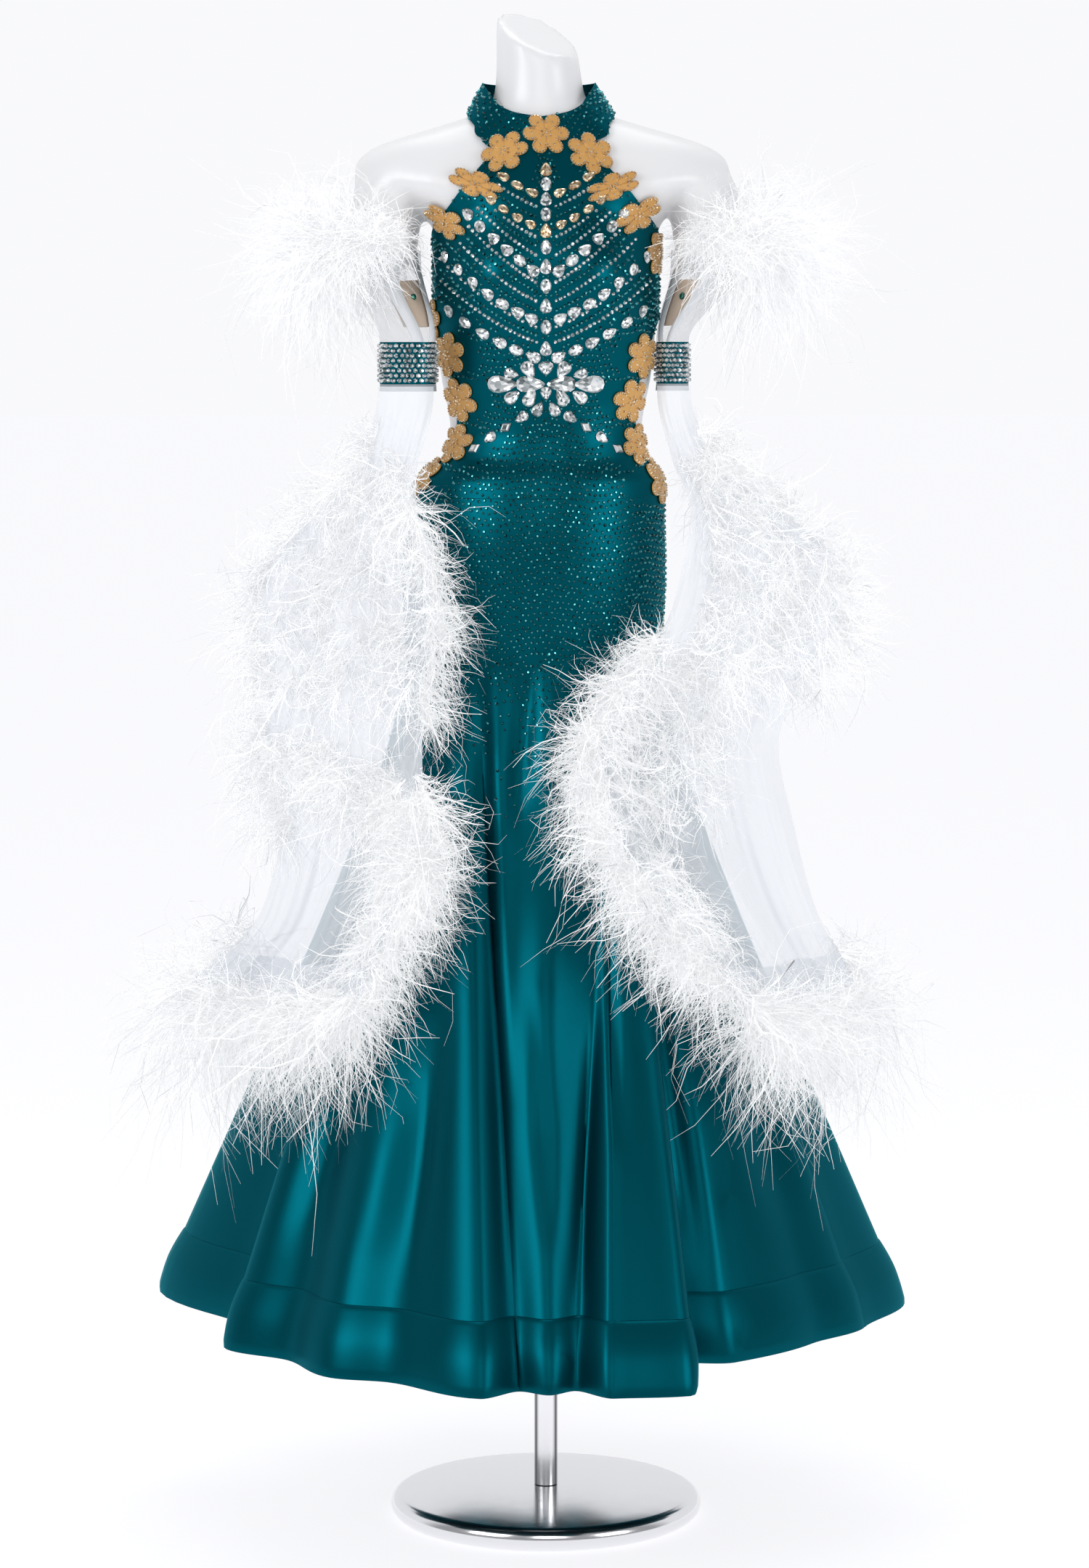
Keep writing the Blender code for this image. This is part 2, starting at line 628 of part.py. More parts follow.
def make_skirt():
    """Six gores and the stiff hem band under each."""
    starts = [index for index, fold in enumerate(FOLDS) if fold.gore]
    for number, start in enumerate(starts):
        end = starts[number + 1] if number + 1 < len(starts) else starts[0] + len(FOLDS)
        places = gore_places(start, end)
        name = FOLDS[start].gore

        def gore_heights(place):
            top = skirt_top(fold_at(place)[0])
            upper = [mix(top, SKIRT_HEIGHTS[0], step / SKIRT_TOP_STEPS) for step in range(SKIRT_TOP_STEPS)]
            return upper + list(SKIRT_HEIGHTS) + [HEM_SEAM_Z + HEM_SEAM_GAP]

        add_object("skirt_" + name, skirt_wall(places, gore_heights, SATIN_WALL, 0.0), "satin")
        band = skirt_wall(places, lambda place: [HEM_SEAM_Z, HEM_Z], HEM_BAND_WALL,
                          (SATIN_WALL - HEM_BAND_WALL) / 2)
        add_object("hem_" + name, band, "satin")


def inside(point, outline, margin=0.0):
    """Whether a flat point lies inside an outline, at least a margin from its edge."""
    within = False
    for (x0, y0), (x1, y1) in zip(outline, outline[1:] + outline[:1]):
        if (y0 > point[1]) != (y1 > point[1]):
            if point[0] < x0 + (point[1] - y0) * (x1 - x0) / (y1 - y0):
                within = not within
        length = (x1 - x0) ** 2 + (y1 - y0) ** 2
        part = max(0.0, min(1.0, ((point[0] - x0) * (x1 - x0) + (point[1] - y0) * (y1 - y0)) / length))
        if hypot(point[0] - x0 - part * (x1 - x0), point[1] - y0 - part * (y1 - y0)) < margin:
            return False
    return within


def triangles(outline, loose, loops):
    """Flat triangles inside an outline through loose points and small loops, the outline's points first."""
    points = [Vector(point) for point in outline + loose]
    count = len(outline)
    edges = [(k, (k + 1) % count) for k in range(count)]
    for loop in loops:
        first = len(points)
        points += [Vector(point) for point in loop]
        edges += [(first + k, first + (k + 1) % len(loop)) for k in range(len(loop))]
    found = delaunay_2d_cdt(points, edges, [list(range(count))], 1, 1e-7)
    return found[0], found[2], found[3]


def stone_list():
    """Every raised crystal of the bodice: its middle, length, width and slant from level."""
    stones = []
    for row in STONE_ROWS:
        slant = atan2(row.outer_z - row.inner_z, row.outer_x - row.inner_x)
        for k in range(row.count):
            part = k / (row.count - 1)
            x = mix(row.outer_x, row.inner_x, part)
            z = mix(row.outer_z, row.inner_z, part) - row.sag * 4 * part * (1 - part)
            for side in (-1, 1):
                stones.append((side * x, z, row.length, row.width, side * slant))
    for z in STONE_COLUMN_Z:
        stones.append((0.0, z, *COLUMN_STONE, pi / 2))
    for stone in CLUSTER:
        for side in ((1,) if stone.x == 0 else (-1, 1)):
            stones.append((side * stone.x, CLUSTER_Z + stone.z, stone.length, stone.width,
                           side * radians(stone.slant)))
    return stones


def bodice_outline():
    """Edge of the front bodice as x and z on its front, anticlockwise from the lower left."""
    left = [(-EDGE_AT["left"](row.z), row.z) for row in BODICE_EDGE]
    right = [(EDGE_AT["right"](row.z), row.z) for row in BODICE_EDGE]
    hip = HIP_SEAM_Z + SEAM_GAP
    shift, half = BODY_AT["shift"](hip), BODY_AT["half_width"](hip)
    seam = [(shift + half * sin(radians(turn)), hip) for turn in range(-88, 89, 11)]
    top = [(x, BODICE_TOP_Z) for x in (0.035, 0.012, -0.012, -0.040)]
    return seam + list(reversed(right)) + top + left


def make_bodice():
    """Front bodice from the collar to the hip seam, with the crystals raised in its outer face."""
    def to_flat(x, z):
        return (turn_at(x, z) * FLAT_SCALE, z)

    edge = [to_flat(x, z) for x, z in bodice_outline()]
    outline = []
    for start, end in zip(edge, edge[1:] + edge[:1]):
        steps = max(1, round(hypot(end[0] - start[0], end[1] - start[1]) / BODICE_GRID))
        outline += [(mix(start[0], end[0], k / steps), mix(start[1], end[1], k / steps))
                    for k in range(steps)]
    loops, tops = [], []
    for x, z, length, width, slant in stone_list():
        corners = []
        for k in range(STONE_SIDES):
            angle = tau * k / STONE_SIDES
            along, across = length / 2 * cos(angle), width / 2 * sin(angle)
            corners.append(to_flat(x + along * cos(slant) - across * sin(slant),
                                   z + along * sin(slant) + across * cos(slant)))
        if all(inside(corner, outline, STONE_MARGIN) for corner in corners):
            loops.append(corners)
            tops.append(to_flat(x, z))
    reach = [min(point[0] for point in outline), max(point[0] for point in outline)]
    grid = []
    for spacing, low, high, nearest in ((BODICE_GRID, HIP_SEAM_Z, BODICE_TOP_Z, 0.0),
                                        (BODICE_GRID / 2, ARMHOLE_Z, ARMHOLE_TOP_Z, 0.04)):
        for row in range(int((high - low) / spacing)):
            for column in range(int(reach[0] / spacing), int(reach[1] / spacing) + 1):
                point = (column * spacing, low + (row + 0.6) * spacing)
                free = all(hypot(point[0] - x, point[1] - z) > spacing * 0.4 for x, z in grid)
                if free and abs(point[0]) >= nearest and inside(point, outline, spacing * 0.45):
                    grid.append(point)
    clear = [point for point in grid
             if all(hypot(point[0] - top[0], point[1] - top[1]) > STONE_SPACE for top in tops)]
    shape = bmesh.new()
    rims = []
    for loose, small, distance in ((clear + tops, loops, SATIN_WALL), (grid, [], 0.0)):
        points, faces, sources = triangles(outline, loose, small)
        raised = range(len(outline) + len(clear), len(outline) + len(clear) + len(tops))
        verts, rim = {}, {}
        for index, (point, source) in enumerate(zip(points, sources)):
            rise = STONE_RISE if small and any(number in raised for number in source) else 0.0
            verts[index] = shape.verts.new(worn(point.x / FLAT_SCALE, point.y, distance + rise))
            for number in source:
                if number < len(outline):
                    rim[number] = verts[index]
        for face in faces:
            corners = [verts[index] for index in face]
            shape.faces.new(corners if distance else reversed(corners))
        rims.append(rim)
    count = len(outline)
    for k in range(count):
        after = (k + 1) % count
        shape.faces.new((rims[0][after], rims[0][k], rims[1][k], rims[1][after]))
    bmesh.ops.delete(shape, geom=[vert for vert in shape.verts if not vert.link_faces], context="VERTS")
    return add_object("bodice_front", shape, "satin")


def worn_strip(name, turns, low_at, high_at, rows, thickness, finish):
    """A strip of cloth that lies on the form between two edges."""
    outer, inner = [], []
    for row in range(rows + 1):
        heights = [mix(high_at(turn), low_at(turn), row / rows) for turn in turns]
        outer.append([worn(turn, z, thickness) for turn, z in zip(turns, heights)])
        inner.append([worn(turn, z) for turn, z in zip(turns, heights)])
    return add_object(name, wall(outer, inner), finish)


def make_back_band():
    """Band that joins the bodice's sides under the arms and across the back."""
    start = turn_at(EDGE_AT["right"](BAND_SIDE_Z), BAND_SIDE_Z)
    start = max(start, radians(BAND_FIRST_TURN)) + SIDE_SEAM_TURN
    turns = [mix(start, tau - start, k / BAND_COLUMNS) for k in range(BAND_COLUMNS + 1)]

    def narrowing(turn):
        return ease(BAND_NARROWING * max(0.0, -cos(turn)))

    worn_strip("back_band", turns, lambda turn: mix(BAND_SIDE.low, BAND_BACK.low, narrowing(turn)),
               lambda turn: mix(BAND_SIDE.high, BAND_BACK.high, narrowing(turn)), 2, SATIN_WALL, "satin")


def collar_point(turn, part):
    """Stand collar's inner face, straight from its lower edge, 0, to its upper edge, 1."""
    away = degrees(abs(turn))
    low = worn(turn, COLLAR_AT["low"](away))
    high = worn(turn, COLLAR_AT["high"](away))
    high += Vector((sin(turn), -cos(turn), 0)) * COLLAR_AT["stand"](away)
    return low.lerp(high, part)


def make_collar():
    """Stand collar, dipping in front, higher at the sides and closed behind."""
    last = pi - BACK_CLOSING_TURN
    turns = [mix(-last, last, k / COLLAR_COLUMNS) for k in range(COLLAR_COLUMNS + 1)]
    parts = (1.0, 0.5, 0.0)
    outer = [[moved_out(collar_point, turn, part, SATIN_WALL) for turn in turns] for part in parts]
    inner = [[collar_point(turn, part) for turn in turns] for part in parts]
    return add_object("collar", wall(outer, inner), "satin")


def flower_outline():
    """Rounded petals about a middle, as radius and angle pairs."""
    points = []
    for petal in range(PETALS):
        middle = tau * petal / PETALS
        points += [(0.34, middle - pi / PETALS), (0.85, middle - 0.36), (1.0, middle - 0.10),
                   (0.93, middle + 0.27)]
    return points


def seat(shape, inward, cloth):
    """Moves a piece in until it nearly touches the cloth under it."""
    for _ in range(SEAT_TRIES):
        bmesh.ops.translate(shape, vec=inward * SEAT_STEP, verts=shape.verts)
        tree = BVHTree.FromBMesh(shape)
        if any(tree.overlap(other) for other in cloth):
            bmesh.ops.translate(shape, vec=inward * SEAT_STEP * -2, verts=shape.verts)
            return


def make_flower(name, turn, z, spin, off_cloth, cloth):
    """A flower applique over the cloth at an angle and height of the form."""
    lift = SATIN_WALL + off_cloth
    middle = worn(turn, z, lift)
    step = 1e-3
    along = (body_point(turn + step, z) - body_point(turn - step, z)).normalized()
    up = (body_point(turn, z + step) - body_point(turn, z - step)).normalized()
    start = body_point(turn, z)
    shape = bmesh.new()
    under, over = [], []
    for radius, angle in flower_outline():
        outward = along * cos(angle + spin) + up * sin(angle + spin)
        place = place_near(start + FLOWER_RADIUS * radius * outward)
        under.append(shape.verts.new(worn(*place, lift)))
        over.append(shape.verts.new(worn(*place, lift + FLOWER_THICK)))
    low = shape.verts.new(middle)
    high = shape.verts.new(worn(turn, z, lift + FLOWER_THICK * 1.6))
    count = len(under)
    for k in range(count):
        after = (k + 1) % count
        shape.faces.new((over[k], over[after], high))
        shape.faces.new((under[after], under[k], low))
        shape.faces.new((under[k], under[after], over[after], over[k]))
    seat(shape, along.cross(up).normalized() * -1, cloth)
    return add_object(name, shape, "gold")


def make_flowers():
    bpy.context.view_layer.update()
    ready = bpy.context.evaluated_depsgraph_get()
    satin = [made for made in bpy.data.objects if made.active_material == material("satin")]
    cloth = [BVHTree.FromObject(made, ready) for made in satin]
    for flower in FLOWERS:
        make_flower("flower_" + flower.name, turn_at(flower.x, flower.z), flower.z,
                    radians(flower.spin), flower.lift, cloth)
    for number, turn in enumerate(BACK_FLOWER_TURNS, 1):
        place = radians(turn)
        make_flower("flower_back_%d" % number, place, skirt_top(place) - BACK_FLOWER_DROP,
                    radians(20 * number), BACK_FLOWER_LIFT, cloth)


def grow_locks(shape, faces, directions, reaches, seed):
    """Draws each face out into one tapered, drooping lock."""
    chance = random.Random(seed)
    for face, direction, reach in zip(faces, directions, reaches):
        length = reach * chance.uniform(LOCK_SHORTEST, 1.0)
        middle = face.calc_center_median()
        top = bmesh.ops.extrude_discrete_faces(shape, faces=[face])["faces"][0]
        target = middle + direction * length * LOCK_MIDDLE
        for vert in top.verts:
            vert.co = target + (vert.co - middle) * LOCK_TAPER
        tip = middle + direction * length * LOCK_TIP - Vector((0, 0, LOCK_DROOP * length))
        bmesh.ops.poke(shape, faces=[top])["verts"][0].co = tip


def make_puff(side, seed):
    """Band round the shoulder end with the feather locks of the puff."""
    turns = [tau * k / PUFF_COLUMNS for k in range(PUFF_COLUMNS)]
    low = PUFF_BOTTOM + PUFF_HEM
    heights = (PUFF_TOP, (PUFF_TOP + low) / 2, low, PUFF_BOTTOM)

    def skin(turn, z):
        return stub_point(side, turn, z)

    inner = [[moved_out(skin, turn, z, PUFF_CLEARANCE) for turn in turns] for z in heights]
    outer = [[moved_out(skin, turn, z, PUFF_CLEARANCE + ARMBAND_WALL) for turn in turns] for z in heights]
    shape = wall(outer, inner, round_about=True, split=False)
    shape.faces.ensure_lookup_table()
    faces, directions, reaches = [], [], []
    for row, rise in enumerate(PUFF_RISES):
        for k in range(PUFF_COLUMNS):
            turn = tau * (k + 0.5) / PUFF_COLUMNS
            outward = Vector((sin(turn), -cos(turn), 0))
            away = outward.x * SIDES[side]
            if away < PUFF_INNER_LIMIT or (k + row) % 2:
                continue
            faces.append(shape.faces[2 * (row * PUFF_COLUMNS + k)])
            directions.append((outward + Vector((0, 0, rise))).normalized())
            reaches.append(PUFF_REACH * (1 + PUFF_OUTER_REACH * away))
    grow_locks(shape, faces, directions, reaches, seed)
    add_object("puff_" + side, shape, "feather")


def sleeve_point(side, turn, down):
    """Sheer sleeve between the puff, 0, and the armband, 1."""
    band = ARMBANDS[side]
    drift = ease((down - SLEEVE_STRAIGHT) / (1 - SLEEVE_STRAIGHT))
    top = PUFF_BOTTOM - SLEEVE_DROP
    half = mix(STUB_AT["half_width"](PUFF_BOTTOM) + SLEEVE_EASE, band.half_width, drift)
    depth = mix(STUB_AT["half_width"](PUFF_BOTTOM) * STUB_DEPTH + SLEEVE_EASE, band.half_depth, drift)
    x = mix(SIDES[side] * STUB_AT["centre"](PUFF_BOTTOM), band.x, drift)
    return Vector((x + half * sin(turn), mix(0, band.y, drift) - depth * cos(turn),
                   mix(top, band.top + SEAM_GAP, down)))


def inward_rings(surface, turns, downs, outer_off, inner_off):
    """Outer and inner rows of a wall over a surface whose second parameter runs downwards."""
    outer = [[moved_out(surface, turn, down, outer_off) for turn in turns(down)] for down in downs]
    inner = [[moved_out(surface, turn, down, inner_off) for turn in turns(down)] for down in downs]
    return outer, inner


def make_sleeve(side):
    """Sheer sleeve, slit open towards the front, and the tan piece behind the slit."""
    slit = radians(SLIT_TURN[side])

    def surface(turn, down):
        return sleeve_point(side, turn, down)

    def open_turns(down):
        half = radians(SLIT_TOP_HALF + SLIT_OPEN_HALF * sin(pi * (down * 0.8 + 0.1)) * ease(down * 3))
        return [mix(slit + half, slit + tau - half, k / 15) for k in range(16)]

    def lining_turns(down):
        return [slit + radians(step) for step in range(-LINING_HALF, LINING_HALF + 1, 11)]

    add_object("sleeve_" + side,
               wall(*inward_rings(surface, open_turns, SLEEVE_ROWS, 0.0, CHIFFON_WALL)), "chiffon")
    gap = CHIFFON_WALL + LINING_GAP
    add_object("sleeve_lining_" + side,
               wall(*inward_rings(surface, lining_turns, SLEEVE_ROWS[2:-1], gap, gap + CHIFFON_WALL)), "nude")


def armband_point(side, turn, z, lift=0.0):
    """Outer face of an armband, with a soft notch in front."""
    band = ARMBANDS[side]
    away = (turn + pi) % tau - pi
    size = 1 - band.notch * exp(-(away / 0.3) ** 2)
    return Vector((band.x + (band.half_width * size + lift) * sin(turn),
                   band.y - (band.half_depth * size + lift) * cos(turn), z))


def make_armband(side):
    """Armband and the grey binding along its lower edge."""
    band = ARMBANDS[side]
    turns = [tau * k / ARMBAND_COLUMNS for k in range(ARMBAND_COLUMNS)]
    edge = band.bottom - BINDING_HEIGHT
    for name, heights, thickness, finish in (
            ("armband_", (band.top, band.bottom), ARMBAND_WALL, "stones"),
            ("armband_binding_", (band.bottom - SEAM_GAP, edge), ARMBAND_WALL, "binding")):
        outer = [[armband_point(side, turn, z) for turn in turns] for z in heights]
        inner = [[armband_point(side, turn, z, -thickness) for turn in turns] for z in heights]
        add_object(name + side, wall(outer, inner, round_about=True), finish)


def float_point(side, across, z):
    """Chiffon float: gathered round the armband above, a waved curtain below."""
    at = FLOAT_AT[side]
    start = Vector((at["inner_x"](z), at["inner_y"](z), z))
    end = Vector((at["outer_x"](z), at["outer_y"](z), z))
    chord = (end - start).normalized()
    front = chord.cross(Vector((0, 0, 1)))
    if front.y > 0:
        front = -front
    wave = at["depth"](z) * sin(tau * FLOAT_WAVES * across + FLOAT_WAVE_START)
    curtain = start.lerp(end, across) + front * wave
    turn = -SIDES[side] * radians(mix(FLOAT_GATHER_START, FLOAT_GATHER_END, across))
    gathered = armband_point(side, turn, z, FLOAT_LIFT)
    return gathered.lerp(curtain, ease((ARMBANDS[side].bottom - BINDING_HEIGHT - z) / FLOAT_GATHER_DROP))


def float_grid(side):
    """Outer points of the float, row by row from the armband down."""
    grid = []
    for number, z in enumerate(FLOAT_HEIGHTS):
        grid.append([])
        for k in range(FLOAT_COLUMNS + 1):
            across = k / FLOAT_COLUMNS
            low = FLOAT_HEM_SAG * sin(pi * across) if number == len(FLOAT_HEIGHTS) - 1 else 0.0
            grid[-1].append(float_point(side, across, z) - Vector((0, 0, low)))
    return grid


def grid_normals(grid, forward):
    """Normal at each point of a grid, turned so that it faces the front on the whole."""
    rows, wide = len(grid), len(grid[0])
    normals = []
    for i in range(rows):
        normals.append([])
        for j in range(wide):
            up = grid[max(i - 1, 0)][j] - grid[min(i + 1, rows - 1)][j]
            along = grid[i][min(j + 1, wide - 1)] - grid[i][max(j - 1, 0)]
            normals[-1].append(along.cross(up).normalized() * forward)
    return normals


def make_float(side):
    """The chiffon float and its feather edgings."""
    grid = float_grid(side)
    normals = grid_normals(grid, SIDES[side])
    back = [[point - normal * CHIFFON_WALL for point, normal in zip(*rows)] for rows in zip(grid, normals)]
    add_object("float_" + side, wall(grid, back), "chiffon")
    for seed, edging in enumerate(EDGINGS):
        if edging.side == side:
            make_edging(edging, grid, normals, seed)


def make_edging(edging, grid, normals, seed):
    """A narrow strip along a line of the float's points, moved out, with a feather lock on each face."""

    def at(row, column):
        """Point and normal at a place between the grid's rows and columns."""
        i, j = min(int(row), len(grid) - 2), min(int(column), len(grid[0]) - 2)
        f, g = row - i, column - j
        blended = []
        for field in (grid, normals):
            upper = field[i][j].lerp(field[i][j + 1], g)
            lower = field[i + 1][j].lerp(field[i + 1][j + 1], g)
            blended.append(upper.lerp(lower, f))
        return blended[0], blended[1].normalized()

    count = round(edging.end - edging.start) * (1 if edging.along == "row" else EDGING_COLUMN_LOCKS)
    steps = [mix(edging.start, edging.end, k / count) for k in range(count + 1)]
    if edging.along == "row":
        above = edging.line - EDGING_ROW_WIDTH
        pairs = [(above, step) for step in steps], [(edging.line, step) for step in steps]
    else:
        beside = edging.line + EDGING_COLUMN_WIDTH
        pairs = [(step, edging.line) for step in steps], [(step, beside) for step in steps]
    rings = []
    for line in pairs:
        found = [at(*place) for place in line]
        rings.append([point + normal * EDGING_LIFT for point, normal in found])
        rings.append([point + normal * (EDGING_LIFT + EDGING_THICK) for point, normal in found])
    inner, outer = (rings[0], rings[2]), (rings[1], rings[3])
    shape = wall(outer, inner, split=False)
    shape.faces.ensure_lookup_table()
    faces = [shape.faces[2 * k] for k in range(count)]
    chord = (at(*pairs[0][-1])[0] - at(*pairs[0][0])[0]).normalized()
    facing = sum((at(*place)[1] for place in pairs[0]), Vector())
    facing = Vector((facing.x, facing.y, 0)).normalized()
    beyond = None
    if edging.along == "column":
        beside = grid[int(edging.start)]
        beyond = (beside[edging.line] - beside[edging.line + 1]).normalized()
    else:
        across = Vector((chord.y, -chord.x, 0)).normalized()
        facing = across if across.dot(facing) > 0 else -across
    directions = []
    for k in range(count):
        lean = beyond or chord * (2 * (k + 0.5) / count - 1)
        level = (facing + lean * edging.spread) * edging.out
        directions.append((level - Vector((0, 0, edging.down))).normalized())
    grow_locks(shape, faces, directions, [edging.reach] * count, seed)
    add_object("feather_%s_%s" % (edging.name, edging.side), shape, "feather")


def main():
    for old in list(bpy.data.objects):
        bpy.data.objects.remove(old)
    make_base()
    make_pole()
    make_form()
    make_collar()
    make_bodice()
    make_back_band()
    make_skirt()
    make_flowers()
    for seed, side in enumerate(SIDES):
        make_puff(side, seed)
        make_sleeve(side)
        make_armband(side)
        make_float(side)


main()
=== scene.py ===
"""Looks of a ballroom dance dress with feathered floats, on a limbless dress form with a round base.

Metres, +Z up, front towards -Y. The origin is the centre of the base's underside.
"""

import json
from collections import namedtuple
from math import cos, pi, radians, sin, tau

import bmesh
import bpy
import numpy as np
from bpy.props import FloatProperty, FloatVectorProperty, PointerProperty
from bpy.types import Operator, Panel, PropertyGroup
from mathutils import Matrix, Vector
from mathutils.bvhtree import BVHTree

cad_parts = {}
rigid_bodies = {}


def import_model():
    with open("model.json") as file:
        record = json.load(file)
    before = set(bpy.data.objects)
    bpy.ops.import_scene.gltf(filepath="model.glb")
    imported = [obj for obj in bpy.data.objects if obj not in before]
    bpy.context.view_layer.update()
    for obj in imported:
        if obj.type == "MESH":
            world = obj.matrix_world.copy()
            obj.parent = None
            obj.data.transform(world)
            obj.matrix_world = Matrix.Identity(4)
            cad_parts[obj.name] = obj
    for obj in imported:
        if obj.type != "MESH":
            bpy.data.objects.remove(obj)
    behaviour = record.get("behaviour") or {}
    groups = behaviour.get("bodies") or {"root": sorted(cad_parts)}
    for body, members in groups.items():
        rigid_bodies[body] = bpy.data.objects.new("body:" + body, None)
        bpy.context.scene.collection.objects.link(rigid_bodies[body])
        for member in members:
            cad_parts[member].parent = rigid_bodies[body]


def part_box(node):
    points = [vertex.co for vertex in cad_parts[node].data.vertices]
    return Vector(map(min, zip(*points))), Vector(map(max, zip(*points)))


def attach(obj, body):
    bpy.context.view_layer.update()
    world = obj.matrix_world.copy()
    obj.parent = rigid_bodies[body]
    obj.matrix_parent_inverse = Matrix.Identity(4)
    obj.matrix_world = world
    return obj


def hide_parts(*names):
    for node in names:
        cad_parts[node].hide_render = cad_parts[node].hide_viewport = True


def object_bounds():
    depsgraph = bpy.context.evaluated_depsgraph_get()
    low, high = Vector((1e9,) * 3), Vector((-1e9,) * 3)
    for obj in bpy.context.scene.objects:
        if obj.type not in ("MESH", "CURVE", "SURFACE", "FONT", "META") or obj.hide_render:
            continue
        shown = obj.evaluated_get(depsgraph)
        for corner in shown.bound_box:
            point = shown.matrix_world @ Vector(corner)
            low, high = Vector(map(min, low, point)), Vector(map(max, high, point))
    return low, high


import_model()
CAD_LOW, CAD_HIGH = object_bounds()

bl_info = {
    "name": "Ballroom dance dress",
    "version": (1, 0, 0),
    "blender": (4, 5, 0),
    "location": "3D View > Sidebar > Dress",
    "description": "Satin gown with crystals, gold flowers, feather puffs and chiffon floats on a dress form",
    "category": "Object",
}

# Walls and clearances of the cloth
SEAM_GAP = 0.0003
FORM_CLEARANCE = 0.0022
SATIN_WALL = 0.0015
CHIFFON_WALL = 0.0012
HEM_BAND_WALL = 0.0022
ARMBAND_WALL = 0.0020
NARROWEST_CUT, LEAST_AREA_SHARE = 0.0102, 0.3
SEAM_DIP, SEAM_WIDTH, SEAM_PLACE = 0.0014, 0.0030, 0.035
HEM_PUFF, HEM_PUFF_HEIGHT = 0.0045, 0.080
SEAM_SHOWS_Z, SEAM_FADE = 0.95, 0.20
HEM_TUCK, HEM_ROWS, HEM_CROWDING = 0.0015, 24, 1.8

# Angles in degrees past which an edge is sharp, and small steps along a surface
SHARP_CLOTH, SHARP_FLOWER, SHARP_CHROME = 50, 60, 35
FINE_STEP, STEP, NEVER_ZERO = 1e-4, 1e-3, 1e-6

# Heights
HEM_Z, HEM_SEAM_Z = 0.2385, 0.3135
FLARE_Z, FLARE_EASE = 1.000, 0.13
HIP_SEAM_Z, BACK_SCOOP_Z = 1.165, 1.128
BODICE_TOP_Z = 1.5555
NECK_TOP_Z = 1.676
NECK_TILT_SIDE, NECK_TILT_FRONT = -0.42, 0.45

# Body under the dress: half width, sideways shift and depth in front and behind, at each height
BodyRow = namedtuple("BodyRow", "z half_width shift front back")
BODY = [BodyRow(*row) for row in (
    (0.800, 0.040, 0.000, 0.040, 0.040), (0.803, 0.070, -0.002, 0.060, 0.062),
    (0.815, 0.100, -0.005, 0.078, 0.084), (0.840, 0.118, -0.008, 0.090, 0.096),
    (0.900, 0.130, -0.012, 0.101, 0.108), (1.000, 0.140, -0.014, 0.109, 0.118),
    (1.080, 0.1440, -0.0135, 0.111, 0.124), (1.120, 0.1432, -0.0135, 0.109, 0.121),
    (1.180, 0.1350, -0.0070, 0.099, 0.100), (1.210, 0.1140, -0.0020, 0.089, 0.080),
    (1.237, 0.1070, 0.0000, 0.084, 0.070), (1.265, 0.1105, 0.0000, 0.083, 0.068),
    (1.290, 0.1160, 0.0000, 0.085, 0.070), (1.330, 0.1210, 0.0000, 0.092, 0.078),
    (1.380, 0.1230, 0.0000, 0.101, 0.086), (1.420, 0.1230, 0.0000, 0.106, 0.090),
    (1.455, 0.1240, 0.0000, 0.101, 0.091), (1.480, 0.1385, -0.0010, 0.094, 0.090),
    (1.500, 0.1780, -0.0030, 0.087, 0.088), (1.515, 0.2100, -0.0040, 0.081, 0.085),
    (1.535, 0.2070, -0.0040, 0.072, 0.080), (1.551, 0.1890, -0.0040, 0.065, 0.075),
    (1.563, 0.1560, -0.0045, 0.060, 0.071), (1.575, 0.1150, -0.0050, 0.056, 0.067),
    (1.587, 0.0780, -0.0060, 0.053, 0.062), (1.604, 0.0520, -0.0070, 0.050, 0.056),
    (1.630, 0.0475, -0.0080, 0.048, 0.052), (1.650, 0.0460, -0.0090, 0.047, 0.050),
    (1.760, 0.0460, -0.0090, 0.047, 0.050),
)]
BUST_X, BUST_Z, BUST_OUT = 0.062, 1.400, 0.018
BUST_WIDTH, BUST_HEIGHT, BUST_FADE = 0.044, 0.052, 1.7
# First and last height and number of the form's rings
FORM_RINGS = ((0.800, 0.830, 8), (0.840, 1.655, 164))
FORM_SIDES, STUB_SIDES, STUB_RINGS = 96, 48, 40
FORM_VOXEL, POLISH, POLISH_ROUNDS = 0.0054, 0.5, 8

StubRow = namedtuple("StubRow", "z centre half_width")
STUB = [StubRow(*row) for row in (
    (1.412, 0.184, 0.016), (1.417, 0.183, 0.027), (1.430, 0.182, 0.0355), (1.450, 0.180, 0.0385),
    (1.480, 0.178, 0.0390), (1.505, 0.175, 0.0390), (1.522, 0.170, 0.0340), (1.537, 0.164, 0.0240),
)]
STUB_DEPTH = 1.2

# Folds of the skirt: angle on the hips, angle and radius at the hem, and the gore that starts there
Fold = namedtuple("Fold", "hip_turn hem_turn radius gore")
FOLDS = [Fold(*row) for row in (
    (-162, -165, 0.440, ""), (-146, -150, 0.365, ""), (-130, -137, 0.435, "side_back_left"),
    (-114, -122, 0.370, ""), (-98, -107, 0.467, ""), (-77, -73, 0.348, "side_front_left"),
    (-66, -59, 0.408, ""), (-57, -47, 0.383, ""), (-49, -34, 0.412, ""), (-43, -25, 0.399, ""),
    (-33, -9, 0.441, ""), (-25.5, -3.9, 0.404, "centre_front"), (0, 0.5, 0.420, ""),
    (34, 4.4, 0.402, ""), (38, 9.3, 0.440, "side_front_right"), (46, 19.8, 0.449, ""),
    (53, 27.5, 0.312, ""), (61, 37, 0.340, ""), (73, 58, 0.345, ""), (88, 74, 0.371, "side_back_right"),
    (99, 95, 0.413, ""), (111, 108, 0.352, ""), (124, 123, 0.425, ""), (137, 137, 0.360, "centre_back"),
    (150, 151, 0.440, ""), (162, 164, 0.372, ""), (173, 174, 0.432, ""), (183, 183, 0.374, ""),
)]
